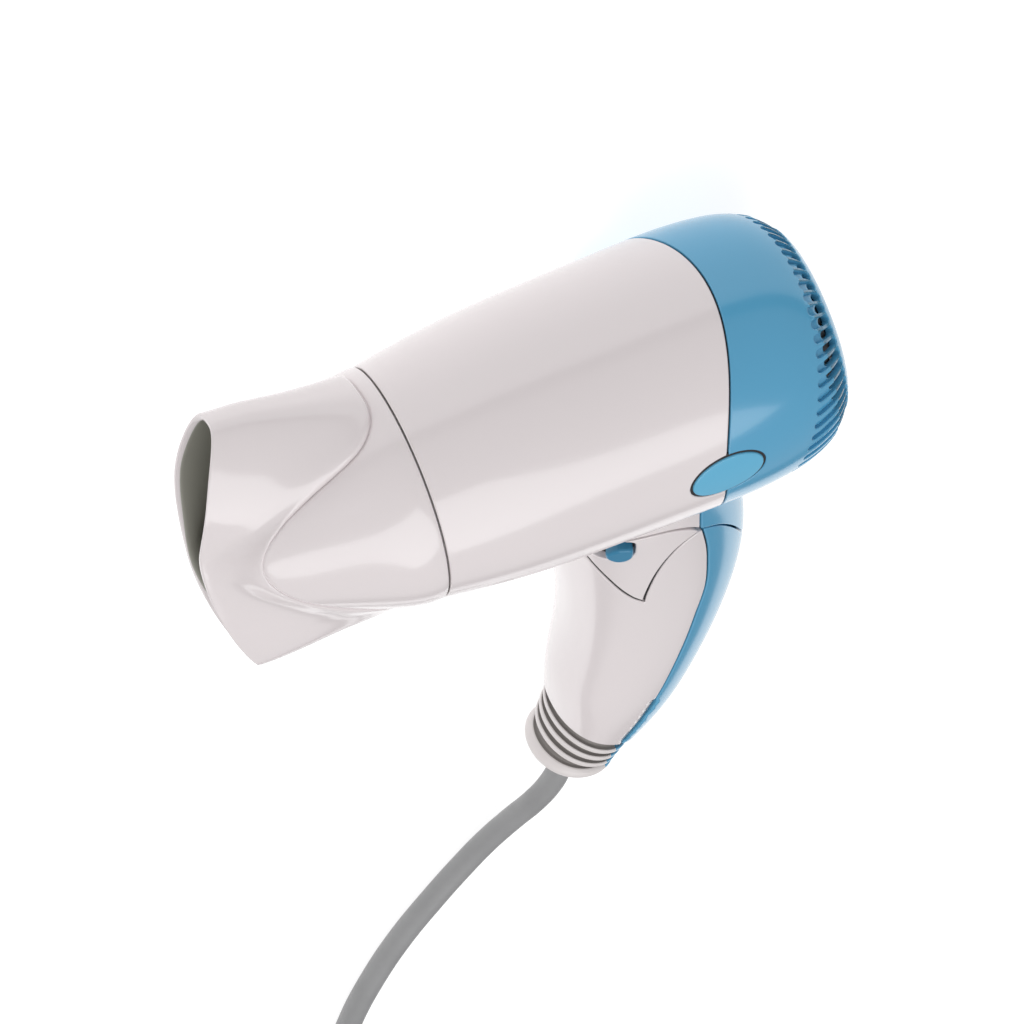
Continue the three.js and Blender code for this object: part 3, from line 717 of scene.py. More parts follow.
def bite(line, side, keep_front):
    """line runs across the oval: the points inside it give way to the oval's arc on the white (front) or blue (rear) side."""
    o = oval(side, 0.85, 400)
    ins = inside(o, line)
    if not ins.any():
        return line
    i0, i1 = np.where(ins)[0][[0, -1]]
    a, b = line[i0 - 1], line[i1 + 1]
    ia = np.argmin(np.linalg.norm(o - a, axis=1))
    ib = np.argmin(np.linalg.norm(o - b, axis=1))
    n = len(o)
    f1 = [(ia + k) % n for k in range((ib - ia) % n + 1)]
    f2 = [(ia - k) % n for k in range((ia - ib) % n + 1)]
    pick = min((f1, f2), key=lambda f: o[f, 1].mean() if keep_front else -o[f, 1].mean())
    arc = o[pick][::4]
    return np.vstack([line[:i0 - 1], arc, line[i1 + 2:]])


us = np.linspace(-U1, U1, 481)
front_edge = np.column_stack([us, np.full(len(us), 0.05)])
white_seam = np.column_stack([us, seam_v(us)])[::-1]
white_seam = bite(bite(white_seam, 1, True), -1, True)
vside = np.arange(1.5, float(white_seam[0, 1]) - 1.0, 1.5)
loop = np.vstack([front_edge, np.column_stack([np.full(len(vside), U1), vside]), white_seam,
                  np.column_stack([np.full(len(vside), -U1), vside[::-1]])])


def plain_sides(b):
    m = np.abs(np.abs(b[:, 0]) - U1) < 1e-6
    return m


def finish_patch(name, parts, mats, body, slot, replaces=()):
    V, N, F, M = join_parts(parts)
    # weld by position, corner normals kept
    P = row(V)
    key = np.round(V / 0.004).astype(np.int64)
    _, first, inv = np.unique(key, axis=0, return_index=True, return_inverse=True)
    inv = inv.ravel()
    faces, loops_n, fm = [], [], []
    Nr = row_dir(N)
    Nr /= np.maximum(np.linalg.norm(Nr, axis=1, keepdims=True), 1e-9)
    seen = set()
    for f, m in zip(F, M):
        g = [(int(inv[v]), int(v)) for v in f]
        h = [g[j] for j in range(len(g)) if g[j][0] != g[j - 1][0]]
        ids = [q[0] for q in h]
        if len(set(ids)) < 3 or len(set(ids)) != len(ids):
            continue
        k = tuple(sorted(ids))
        if k in seen:
            continue
        seen.add(k)
        faces.append(ids)
        loops_n += [Nr[q[1]] for q in h]
        fm.append(m)
    me = bpy.data.meshes.new(name)
    me.from_pydata(P[first].tolist(), [], faces)
    me.polygons.foreach_set("use_smooth", [True] * len(me.polygons))
    for m in mats if isinstance(mats, (list, tuple)) else [mats]:
        me.materials.append(m)
    me.polygons.foreach_set("material_index", fm)
    me.update()
    me.normals_split_custom_set([tuple(v) for v in loops_n])
    ob = bpy.data.objects.new(name, me)
    bpy.context.scene.collection.objects.link(ob)
    PIECES[name] = (ob, body, slot, tuple(replaces))
    return ob


finish_patch("housing_front", [patch(barrel_surf(), [loop], h=2.0, r=0.5, depth=2.2, plain=plain_sides)], M_WHITE, "barrel", "white_plastic", ["barrel_shell"])

# rear housing with its vent slots
blue_seam = np.column_stack([us, seam_v(us) + GAP])
blue_seam = bite(bite(blue_seam, 1, False), -1, False)
v_end = float(V_of_x(-124.35))
rear_edge = np.column_stack([us, np.full(len(us), v_end)])[::-1][::2]
vside = np.arange(float(blue_seam[-1, 1]) + 1.2, v_end - 0.6, 1.2)
loop = np.vstack([blue_seam, np.column_stack([np.full(len(vside), U1), vside]), rear_edge,
                  np.column_stack([np.full(len(vside), -U1), vside[::-1]])])


def plain_rear(b):
    return (np.abs(np.abs(b[:, 0]) - U1) < 1e-6) | (b[:, 1] > v_end - 1e-6)


SLOTS = 53
SLOT_W = 1.27
slot_loops = []
for k in range(SLOTS):
    phi = math.pi * (2 * (k - 26) / SLOTS) + 0.0873 - (2 * math.pi if 2 * (k - 26) / SLOTS + 0.0278 > 1 else 0)
    x0 = min(-107 - 11 * math.cos(phi), -101.0)
    va, vb = float(V_of_x(x0)), float(V_of_x(-123.0))
    w = SLOT_W
    left, rightl = [], []
    vv = np.arange(va + w, vb - w, 0.8)
    for v in vv:
        r = float(_fr(v))
        left.append((phi * R0 - w * R0 / r, v))
        rightl.append((phi * R0 + w * R0 / r, v))
    ra, rb = float(_fr(va + w)), float(_fr(vb - w))
    aa = np.linspace(0, math.pi, 9)
    front = [(phi * R0 + w * R0 / ra * math.cos(a), va + w - w * math.sin(a)) for a in aa[1:-1]]
    rear = [(phi * R0 - w * R0 / rb * math.cos(a), vb - w + w * math.sin(a)) for a in aa[1:-1]]
    slot_loops.append(np.array(left + rear + rightl[::-1] + front))
blue = patch(barrel_surf(), [loop] + slot_loops, h=1.9, r=0.32, depth=2.2, plain=plain_rear)

# rear disc: rings from the skin's last ring to the middle, closed by the inner face
n = len(rear_edge) - 1
th = rear_edge[:-1, 0] / R0
rings_v = np.linspace(v_end, _s[-1], 4)
rp = [(float(_fx(v)), float(_fr(v))) for v in rings_v] + [(-125.0, 19.4), (-124.9, 18.6), (-124.6, 17.9), (-124.5, 17.0), (-124.5, 12), (-124.5, 6), (-124.5, 0.6)]
rp_in = [(x + 2.2, rr) for x, rr in rp[3:]]
ve = barrel_surf()(np.array([[0, v_end]]))
inner0 = ve[0][0] - ve[1][0] * 2.2
chain = rp + rp_in[::-1] + [(inner0[0], inner0[2])]
V = np.concatenate([np.column_stack([np.full(n, x), r * np.sin(th), r * np.cos(th)]) for x, r in chain])
prof = np.array(chain)
tan = np.gradient(prof, axis=0)
nr = np.column_stack([tan[:, 1], -tan[:, 0]])
nr /= np.maximum(np.linalg.norm(nr, axis=1, keepdims=True), 1e-9)
N = np.concatenate([np.column_stack([np.full(n, a), b * np.sin(th), b * np.cos(th)]) for a, b in nr])
F = grid_faces(len(chain), n)
disc = (V, N, F)
a = V[F[0]]
face_n = np.cross(a[1] - a[0], a[2] - a[0])
if face_n @ N[F[0][0]] < 0:
    disc = (V, N, [f[::-1] for f in F])

# floor of the shallow slot starts: one ring under the skin, its rear edge scalloped at each slot
n = 960
th = np.linspace(-math.pi, math.pi, n, endpoint=False)
ph = ((th - 0.0873) / (2 * math.pi) * SLOTS) % 1.0
off = np.minimum(ph, 1 - ph) * 2 * math.pi / SLOTS * 34.0
vend = V_of_x(np.minimum(-116.9, -107 - 11 * np.cos(th) - 3.7)) + SLOT_W - np.sqrt(np.maximum(SLOT_W ** 2 - np.minimum(off, SLOT_W) ** 2, 0))
rows_ = []
for d, t in [(1.15, 0.0), (1.15, 0.33), (1.15, 0.66), (1.15, 0.93), (1.17, 0.98), (1.3, 1.0), (2.15, 1.0), (2.15, 0.5), (2.15, 0.0)]:
    v0 = V_of_x(-100.0)
    v = v0 + (vend - v0) * t
    P, NN = barrel_surf()(np.column_stack([th * R0, v]))
    rows_.append(P - NN * d)
V = np.concatenate(rows_)
F = grid_faces(len(rows_), n)
a = V[F[0]]
fn = np.cross(a[1] - a[0], a[2] - a[0])
if fn @ np.array([0, a[0][1], a[0][2]]) < 0:
    F = [f[::-1] for f in F]
me_n = np.zeros_like(V)
for f in F[:: 1]:
    q = V[f]
    c = np.cross(q[2] - q[0], q[3] - q[1])
    for i in f:
        me_n[i] += c
me_n /= np.maximum(np.linalg.norm(me_n, axis=1, keepdims=True), 1e-12)
finish_patch("housing_rear", [blue, disc, (V, me_n, F)], M_BLUE, "barrel", "blue_plastic", ["rear_cap"])

# oval caps on both flanks
for side, nm in ((1, "left"), (-1, "right")):
    lp = oval(side, 0.12, 150)
    area2 = np.sum(lp[:, 0] * np.roll(lp[:, 1], -1) - np.roll(lp[:, 0], -1) * lp[:, 1])
    if area2 < 0:
        lp = lp[::-1]
    finish_patch("oval_cap_" + nm, [patch(barrel_surf(0.25), [lp], h=1.2, r=0.6, depth=2.4)], M_CAP, "barrel", "blue_plastic", ["fastener_cap_" + nm])
    # dark seat just under each cap's rim: painted shade in the ring gap round the cap
    g = oval(side, 1.3, 150)
    a2 = np.sum(g[:, 0] * np.roll(g[:, 1], -1) - np.roll(g[:, 0], -1) * g[:, 1])
    if a2 < 0:
        g = g[::-1]
    finish_patch("oval_seat_" + nm, [patch(barrel_surf(-0.3), [g], h=2.0, r=0.1, depth=1.4)], M_GAP_SHADE, "barrel", "dark_blue_plastic")
# dark strip behind the housing seam: painted shade seen through the seam gap
n = 240
th = np.linspace(-math.pi, math.pi, n, endpoint=False)
vs = seam_v(th * R0)
rows_ = []
for d, dv in ((0.95, -1.5), (0.95, 2.0), (1.9, 2.0), (1.9, -1.5), (0.95, -1.5)):
    P, NN = barrel_surf()(np.column_stack([th * R0, vs + dv]))
    rows_.append(P - NN * d)
V = np.concatenate(rows_)
F = grid_faces(5, n)
Nn = np.concatenate([NN, NN, -NN, -NN, NN])
finish_patch("housing_seam", [(V, Nn, F)], M_GAP_SHADE, "barrel", "dark_blue_plastic")

# ---------------------------------------------------------- nozzle
PSI = math.radians(64.4)
NW = np.array([0, math.cos(PSI), -math.sin(PSI)])   # along the outlet slot
NM = np.array([0, math.sin(PSI), math.cos(PSI)])    # across it
_dx = np.array([0, 2.8, 7.5, 11.5, 14, 17, 20.4, 23.2, 30, 36, 42, 46])
_dc = np.polyfit(_dx, [34.1, 33.9, 33.4, 32.6, 31.7, 30.6, 29.5, 28.2, 25.7, 23.6, 21.5, 19.9], 4)
_dome = spline(np.linspace(0, 49, 15), np.polyval(_dc, np.linspace(0, 49, 15)))
X_LIP = 61.56


def lip_x(s):
    return X_LIP - 13.0 * (s / 44.6) ** 2


def slab_section(x, inset):
    """Half of the duckbill's section at x: distance across, for the polar angles TH."""
    lu = np.interp(x, [-2, 2, 5, 8.5, 12, 20, 38, 50, 62], [20, 29, 33.2, 34.5, 35.4, 37.6, 42.8, 44.4, 44.6]) - inset
    ll = np.interp(x, [-2, 4, 10, 20, 28, 38, 47.4, 62], [24, 31.0, 34.4, 35.6, 36.6, 38.4, 39.6, 39.8]) - inset
    q = np.linspace(0, math.pi, 241)
    c = -np.cos(q)
    s = np.where(c < 0, lu * c, ll * c)
    cap = np.abs(np.sin(q)) ** (2 / np.interp(x, [6, 25, 60], [4.0, 3.3, 2.9]))
    fu, fl = np.clip(-c / 0.61, 0, 1), np.clip(c / 0.5, 0, 1)
    base = np.where(c < 0, 6.1 + 7.65 * np.sin(fu * math.pi / 2) ** 2, 6.1 - 1.3 * np.sin(fl * math.pi / 2) ** 2)
    # where the flat side meets the dome
    xc = np.interp(np.abs(s), [0, 2, 4, 8, 12, 17, 22, 25, 27.4, 33, 46], [48.6, 48.3, 46.8, 42.6, 38.0, 32, 23.4, 17.0, 11.6, 8, 6])
    nc = np.interp(np.abs(s), [0, 8, 16, 27, 33, 45], [17.6, 18.0, 17.5, 16.9, 15.6, 12.0])
    xe = lip_x(s)
    g = np.clip((xe - x) / np.maximum(xe - xc, 1), 0, 1)
    t = base + (nc - base) * g ** np.interp(np.abs(s), [0, 12, 24, 30], [1.7, 1.3, 0.7, 0.6]) - inset
    return s, np.maximum(t, 0.25) * cap


NT = 480
_ph = np.linspace(0, 2 * math.pi, NT, endpoint=False)
TH = _ph - 0.36 * np.sin(2 * _ph)      # denser towards the slot's ends; angle from +NW towards +NM
TA = np.arctan2(np.abs(np.sin(TH)), np.cos(TH))      # 0..pi, the section is the same on both sides
# where the duckbill leaves the round dome: station x over the angle
CREASE = np.array([(0, 6.0), (10, 7.2), (20, 11.0), (30, 18.5), (40, 27.4), (50, 34.5), (60, 39.6), (70, 43.2), (77.3, 45.2), (84.5, 46.6), (93, 47.5),
                   (99, 47.7), (105, 47.3), (112.4, 46.0), (120.8, 43.2), (129.9, 38.0), (135.6, 32.2), (139.6, 26.8), (142.9, 20.8), (146, 14.9),
                   (150.6, 10.5), (156.9, 7.4), (162.5, 6.0), (168, 5.3), (174, 5.2), (180, 5.2)])
_g = np.arange(-60, 240.01, 0.25)
_gx = np.interp(np.where(_g < 0, -_g, np.where(_g > 180, 360 - _g, _g)), CREASE[:, 0], CREASE[:, 1])
_k = np.exp(-0.5 * (np.arange(-24, 25) * 0.25 / 1.7) ** 2)
_gx = np.convolve(_gx, _k / _k.sum(), "same")
XC = np.interp(np.degrees(TA), _g, _gx)
_sl = np.interp(np.degrees(TA), _g, np.gradient(_gx, np.radians(_g)))
STEEP = np.minimum(np.hypot(1.0, _sl / _dome(XC)), 4.0)
STEP = np.interp(np.degrees(TA), [0, 60, 85, 100, 118, 140, 150, 165, 180], [0.5, 0.4, 0.15, 0.1, 0.35, 0.8, 1.1, 1.2, 1.2])
_xg = np.arange(0, 63.1, 0.6)


def slab_table(inset):
    tab = []
    for xx in _xg:
        s, t = slab_section(xx, inset)
        ang = np.arctan2(t, s)
        o = np.argsort(ang)
        tab.append(np.interp(TA, ang[o], np.hypot(s, t)[o]))
    tab = np.array(tab)
    for axis, sig in ((0, 3.0), (1, 3.5)):
        w = np.exp(-0.5 * (np.arange(-10, 11) / sig) ** 2)
        w /= w.sum()
        pad = np.pad(tab, ((10, 10), (0, 0)), "edge") if axis == 0 else np.pad(tab, ((0, 0), (10, 10)), "wrap")
        n_ = tab.shape[axis]
        tab = sum(w[k] * (pad[k:k + n_] if axis == 0 else pad[:, k:k + n_]) for k in range(21))
    return tab


def sample(tab, x):
    i = np.clip((x / 0.6).astype(int), 0, len(_xg) - 2)
    f = np.clip(x / 0.6 - i, 0, 1)
    j = np.arange(NT)
    return tab[i, j] * (1 - f) + tab[i + 1, j] * f


def nozzle_mesh():
    wall = 2.1
    t0, t1 = slab_table(0.0), slab_table(wall)
    x_end = lip_x(sample(t0, np.full(NT, X_LIP - 3)) * np.cos(TH))
    for _ in range(3):
        x_end = lip_x(sample(t0, x_end) * np.cos(TH))
    c0 = _dome(XC) + STEP - sample(t0, XC)
    c1 = _dome(XC) - 1.9 - sample(t1, XC)
    fade = lambda x: np.clip(1 - (x - XC) / (x_end - XC), 0, 1) ** 1.6
    bill = lambda x: sample(t0, x) + c0 * fade(x)

    def inner(x):
        d = _dome(np.clip(x, 0, 49)) - 1.9
        r = np.where(x < XC, d, sample(t1, x) + c1 * fade(x))
        o = np.where(x < XC, _dome(np.clip(x, 0, 49)), bill(x))
        return np.minimum(r, o - 0.7)

    def at(x, r):
        return x[:, None] * np.array([1.0, 0, 0]) + (r * np.cos(TH))[:, None] * NW + (r * np.sin(TH))[:, None] * NM
    x_back = 0.35
    rows_ = []
    # rounded rear edge
    for dx, dr in ((0.0, -0.55), (0.05, -0.3), (0.2, -0.1), (0.45, 0.0)):
        x = np.full(NT, x_back + dx)
        rows_.append((x, _dome(x) + dr))
    # dome up to the crease, the crease's groove, then the bill
    x0, x1 = x_back + 0.45, XC - 0.9 * STEEP
    for t in np.linspace(0, 1, 42)[1:]:
        x = x0 + (x1 - x0) * t
        rows_.append((x, _dome(x)))
    for u, dr in ((-0.6, -0.05), (-0.4, -0.16), (-0.22, -0.36), (-0.06, -0.5)):
        x = XC + u * STEEP
        rows_.append((x, _dome(x) + dr))
    for u, k, dr in ((0.1, 1.0, -0.48), (0.2, 0.72, -0.22), (0.36, 0.4, -0.1), (0.6, 0.15, -0.03), (0.95, 0.03, 0.0)):
        x = XC + u * STEEP
        rows_.append((x, bill(x) - k * STEP + dr))
    x0 = XC + 0.95 * STEEP
    for t in np.linspace(0, 1, 56)[1:]:
        x = x0 + (x_end - 0.6 - x0) * t
        rows_.append((x, bill(x)))
    # lip: outside, round, inside
    ro, ri = bill(x_end - 0.6), inner(x_end - 0.6)
    for f, dx in ((0.05, -0.25), (0.2, -0.06), (0.4, 0.0), (0.6, 0.0), (0.8, -0.06), (0.95, -0.25), (1.0, -0.6)):
        rows_.append((x_end + dx, ro + (ri - ro) * f))
    n_out = len(rows_) - 1
    for t in np.linspace(1, 0, 60)[1:]:
        x = x_back + 0.45 + (x_end - x_back - 1.05) * t
        r = inner(x)
        rows_.append((x, np.minimum(r, np.maximum(31.75, r - np.maximum(0, 6 - x)))))
    x = np.full(NT, x_back)
    rows_.append((x, np.full(NT, 31.75)))
    P = [at(x, r) for x, r in rows_]
    V = np.concatenate(P)
    F = grid_faces(len(P), NT)
    F += [[(len(P) - 1) * NT + j, (len(P) - 1) * NT + (j + 1) % NT, (j + 1) % NT, j] for j in range(NT)]
    a = V[F[NT * 10]]
    fn = np.cross(a[1] - a[0], a[2] - a[0])
    if fn @ np.array([0, a[0][1], a[0][2]]) < 0:
        F = [f[::-1] for f in F]
    # the lip's inner rounding and the inside take the darker grey: painted shade inside the opening
    fm = [1 if (i // NT) >= n_out - 1 else 0 for i in range(len(F))]
    return V, F, fm


V, F, fm = nozzle_mesh()
add_mesh("concentrator", V, F, [M_WHITE, M_INSIDE_SHADE], "nozzle", "white_plastic", face_mat=fm, replaces=["concentrator_nozzle"])

# ------------------------------------------------------------------ handle
HANDLE = [[-71.5, -30, 0, 25.6, 23.0], [-71.5, -44, 0, 25.9, 22.6], [-72.4, -58, 0, 27.4, 21.6], [-73.3, -72, 0, 27.7, 20.8], [-73.9, -86, 0, 26.9, 20.2],
          [-73.4, -100, 1, 24.9, 20.0], [-70.2, -116, 6, 23.1, 19.8], [-66.1, -133, 13, 20.9, 18.9], [-61.3, -149, 22, 17.6, 17.4], [-55.7, -163, 33, 14.2, 15.4]]
_h = np.array(HANDLE, float)
_hs = np.r_[0, np.cumsum(np.hypot(np.diff(_h[:, 0]), np.diff(_h[:, 1])))]
for _i, _dg in ((0, 5), (1, 4), (2, 4), (3, 5), (4, 4)):
    _h[:, _i] = np.polyval(np.polyfit(_hs, _h[:, _i], _dg), _hs)
H_CX, H_CZ, H_T, H_A, H_B = (spline(_hs, _h[:, i]) for i in range(5))
H_END = float(_hs[-1])
HU = 22.0
HP = 2.25


def handle_point(th, s, lift=0.0):
    t = np.radians(H_T(s))
    a, b = H_A(s) + lift, H_B(s) + lift
    c, w = np.cos(th), np.sin(th)
    r = (np.abs(c / a) ** HP + np.abs(w / b) ** HP) ** (-1 / HP)
    return np.column_stack([H_CX(s) + r * c * np.cos(t), r * w, H_CZ(s) + r * c * np.sin(t)])


def handle_surf(lift=0.0):
    def f(uv):
        uv = np.asarray(uv, float)
        th, s = uv[:, 0] / HU, -uv[:, 1]
        e = 0.004
        P = handle_point(th, s)
        du = handle_point(th + e, s) - handle_point(th - e, s)
        dv = handle_point(th, s - 0.1) - handle_point(th, s + 0.1)
        N = np.cross(du, dv)
        N /= np.linalg.norm(N, axis=1, keepdims=True)
        return P + N * lift, N
    return f


_ss = np.linspace(-12, H_END + 25, 1500)


def handle_uv(xz, side=1, rear=False):
    """Side view (x, z) on the left (side 1) or right flank to the patch coordinates; angles run 0..2 pi if rear, else -pi..pi."""
    out = []
    t = np.radians(H_T(_ss))
    cx, cz = H_CX(_ss), H_CZ(_ss)
    for x, z in xz:
        eta = -(x - cx) * np.sin(t) + (z - cz) * np.cos(t)
        i = np.where((eta[:-1] <= 0) & (eta[1:] > 0))[0]
        i = int(i[0]) if len(i) else int(np.argmin(np.abs(eta)))
        f = -eta[i] / (eta[i + 1] - eta[i]) if eta[i + 1] != eta[i] else 0
        s = _ss[i] + f * (_ss[i + 1] - _ss[i])
        tt = math.radians(float(H_T(s)))
        xi = (x - float(H_CX(s))) * math.cos(tt) + (z - float(H_CZ(s))) * math.sin(tt)
        a, b = float(H_A(s)), float(H_B(s))
        q = max(-1, min(1, xi / a))
        y = b * (1 - abs(q) ** HP) ** (1 / HP)
        th = math.atan2(y, q * a)
        if side < 0:
            th = 2 * math.pi - th if rear else -th
        out.append((th * HU, -s))
    return np.array(out)


def shift_line(p, d):
    """Side-view line moved to its left by d."""
    p = np.asarray(p, float)
    t = np.gradient(p, axis=0)
    t /= np.maximum(np.linalg.norm(t, axis=1, keepdims=True), 1e-9)
    return p + np.column_stack([-t[:, 1], t[:, 0]]) * d


PX, PZ, KN = -64.5, -61.5, 19.0
SIDE_SEAM = [(-81.0, -47), (-81.8, -54), (-83.1, -64), (-83.4, -74), (-82.8, -87), (-80.2, -98.6), (-77.7, -109.2), (-74.0, -122.4), (-69.8, -135.6),
             (-65.6, -146.7), (-60.8, -158.6), (-57.4, -167), (-54.6, -175)]
V_FRONT = [(-47.2, -44), (-47.9, -52), (-49.9, -57.8), (-51.8, -62.2), (-54.3, -67.5), (-56.4, -71.9), (-58.9, -76.4), (-61.5, -80.0), (-64.3, -82.7)]
V_REAR = [(-64.3, -82.7), (-64.75, -79.2), (-65.6, -75.0), (-66.8, -70.2), (-69.0, -63.9), (-71.6, -59.1), (-75.2, -55.0), (-78.7, -53.2), (-81.6, -52.6)]
TOP_REAR = [(-82.0, -52.9), (-86.1, -56.6), (-90.8, -63.4), (-94.9, -72.4), (-98.6, -84), (-102, -94)]


def arc2(r, a, b, n=60):
    q = np.radians(np.linspace(a, b, n))
    return np.column_stack([PX + r * np.cos(q), PZ + r * np.sin(q)])


def front_x(s):
    return float(H_CX(s) + H_A(s))


seam = curve(SIDE_SEAM, 0.5)
G2 = 0.26
# grip front shell
seam_w = shift_line(seam, 0.0) + np.array([G2, 0])
vf = curve(V_FRONT, 0.4)
vr = curve(V_REAR, 0.4)
vf = vf[(np.hypot(vf[:, 0] - PX, vf[:, 1] - PZ) < KN) | (vf[:, 1] < PZ)]
a_vf = math.degrees(math.atan2(vf[0, 1] - PZ, vf[0, 0] - PX))
arc_front = arc2(KN, a_vf, 11.6, 24)
w_vr = vr[vr[:, 0] > -80.9]
sw = seam_w[(seam_w[:, 1] < w_vr[-1, 1] - 0.25)]


def clip_s(uv, s_end):
    return uv[uv[:, 1] > -s_end]


def mirror(uv):
    m = uv.copy()
    m[:, 0] = -m[:, 0]
    return m[::-1]


S_END = H_END - 0.1
sw_uv = clip_s(handle_uv(sw), S_END)
bot_th = sw_uv[-1, 0]
left = np.vstack([sw_uv[::-1], handle_uv(w_vr[::-1]), handle_uv(vf[::-1])[1:], handle_uv(arc_front)[1:-1]])
# open between the side walls for the hinge tongue
SLOT_Y, SLOT_Z = 9.9, -62.6
arc_uv = handle_uv(arc_front)[1:-1]
arc_y = handle_surf()(arc_uv)[0][:, 1]
arc_uv = arc_uv[arc_y > SLOT_Y + 0.2]
left = np.vstack([sw_uv[::-1], handle_uv(w_vr[::-1]), handle_uv(vf[::-1])[1:], arc_uv])
tg = np.linspace(0, math.pi / 2, 400)
side_uv = []
for z in np.arange(handle_surf()(arc_uv[-1:])[0][0, 2] - 0.3, SLOT_Z, -0.4):
    s_ = float(np.interp(-z, -H_CZ(_ss), _ss))
    side_uv.append((np.interp(SLOT_Y, handle_point(tg, np.full(400, s_))[:, 1], tg) * HU, -s_))
left = np.vstack([left, side_uv])
cross = np.column_stack([np.linspace(left[-1, 0], -left[-1, 0], 50), np.full(50, left[-1, 1])])[1:-1]
bottom = np.column_stack([np.linspace(-bot_th, bot_th, 120), np.full(120, -S_END)])
loop = np.vstack([bottom[1:-1], left, cross, mirror(left)])
loop = resample(loop, 0.55)
finish_patch("grip_front", [patch(handle_surf(), [loop], h=1.8, r=0.42, depth=2.2)], M_WHITE, "grip", "white_plastic", ["grip_front_shell"])

# grip rear shell
seam_b = seam + np.array([-G2, 0])
tr = curve(TOP_REAR, 0.4)
sb = seam_b[seam_b[:, 1] < tr[0, 1] - 0.3]
tr = tr[tr[:, 0] < np.interp(-tr[:, 1], -seam_b[:, 1], seam_b[:, 0]) - 0.3]
sb_uv = clip_s(handle_uv(sb, 1, True), S_END)
tr_uv = handle_uv(tr, 1, True)
k = int(np.argmax(tr_uv[:, 0] > math.pi * HU - 0.35)) or len(tr_uv)
tr_uv = tr_uv[:k]
mirror_r = lambda uv: np.column_stack([2 * math.pi * HU - uv[:, 0], uv[:, 1]])[::-1]
s_seam_bottom = sb_uv[-1, 0]
bottom = np.column_stack([np.linspace(s_seam_bottom, 2 * math.pi * HU - s_seam_bottom, 60), np.full(60, -S_END)])
right_side = mirror_r(np.vstack([tr_uv[::-1], sb_uv]))          # bottom right up to the rear centre
left_side = np.vstack([tr_uv[::-1], sb_uv])                      # rear centre down to the bottom left
loop = resample(np.vstack([bottom[1:-1], right_side, left_side]), 0.55)
finish_patch("grip_rear", [patch(handle_surf(), [loop], h=1.8, r=0.42, depth=2.2)], M_BLUE, "grip", "blue_plastic", ["grip_rear_shell"])

# V panels; the left one carries the switch
va = vf.copy()
vb = vr[vr[:, 0] > -80.6]
a0 = math.degrees(math.atan2(va[0, 1] - PZ, va[0, 0] - PX))
a1 = math.degrees(math.atan2(vb[-1, 1] - PZ, vb[-1, 0] - PX))
top = arc2(KN - 0.05, a1, a0 + 1.5, 90)
poly = np.vstack([va[::-1][::-1], vb[1:], top[1:-1]])             # front edge down to the tip, rear edge up, over the top
c = poly.mean(0)
area2 = np.sum(poly[:, 0] * np.roll(poly[:, 1], -1) - np.roll(poly[:, 0], -1) * poly[:, 1])
poly = resample(poly, 0.4)
poly_in = poly.copy()
t = np.roll(poly, -1, 0) - np.roll(poly, 1, 0)
t /= np.linalg.norm(t, axis=1, keepdims=True)
sgn = 1 if area2 > 0 else -1
poly_in = poly + np.column_stack([-t[:, 1], t[:, 0]]) * sgn * 0.72


def rounded_rect(x0, x1, z0, z1, r, n=8):
    pts = []
    for cx, cz, a in ((x1 - r[0], z1 - r[0], 0), (x0 + r[1], z1 - r[1], 90), (x0 + r[2], z0 + r[2], 180), (x1 - r[3], z0 + r[3], 270)):
        rr = r[(0, 1, 2, 3)[a // 90]]
        for q in np.radians(np.linspace(a, a + 90, n)):
            pts.append((cx + rr * math.cos(q), cz + rr * math.sin(q)))
    return np.array(pts)


def keep_in(poly, r, cx=None):
    """Points beyond the circle about the hinge are drawn in to it."""
    p = np.array(poly, float)
    c = np.array([PX if cx is None else cx, PZ])
    d = p - c
    l = np.linalg.norm(d, axis=1)
    m = (l > r) & (d[:, 1] > 0)
    p[m] = c + d[m] / l[m][:, None] * r
    return p


def ccw(uv, want=True):
    a = np.sum(uv[:, 0] * np.roll(uv[:, 1], -1) - np.roll(uv[:, 0], -1) * uv[:, 1])
    return uv if (a > 0) == want else uv[::-1]


HOLE = rounded_rect(-61.2, -49.4, -54.6, -44.4, (2.0, 2.0, 4.3, 4.3))


def notch(outline, cut):
    """The outline with the part inside the cut polygon replaced by the cut's own edge."""
    m = inside(cut, outline)
    k = int(np.where(m & ~np.roll(m, -1))[0][0]) + 1
    keep = np.roll(outline, -k, 0)
    keep = keep[~np.roll(m, -k)]
    e = inside(outline, cut)
    k = int(np.where(e & ~np.roll(e, 1))[0][0])
    edge = np.roll(cut, -k, 0)[np.roll(e, -k)][1:-1]
    if np.linalg.norm(edge[0] - keep[-1]) > np.linalg.norm(edge[-1] - keep[-1]):
        edge = edge[::-1]
    return resample(np.vstack([keep, edge]), 0.4)


for side, nm, rep in ((1, "switch_side", "switch_panel"), (-1, "plain_side", "side_panel")):
    uv = ccw(handle_uv(notch(poly_in, resample(HOLE, 0.3)) if side > 0 else poly_in, side))
    loops = [uv]
    finish_patch("panel_" + nm, [patch(handle_surf(), loops, h=1.6, r=0.42, depth=2.2)], M_WHITE, "grip", "white_plastic", [rep])
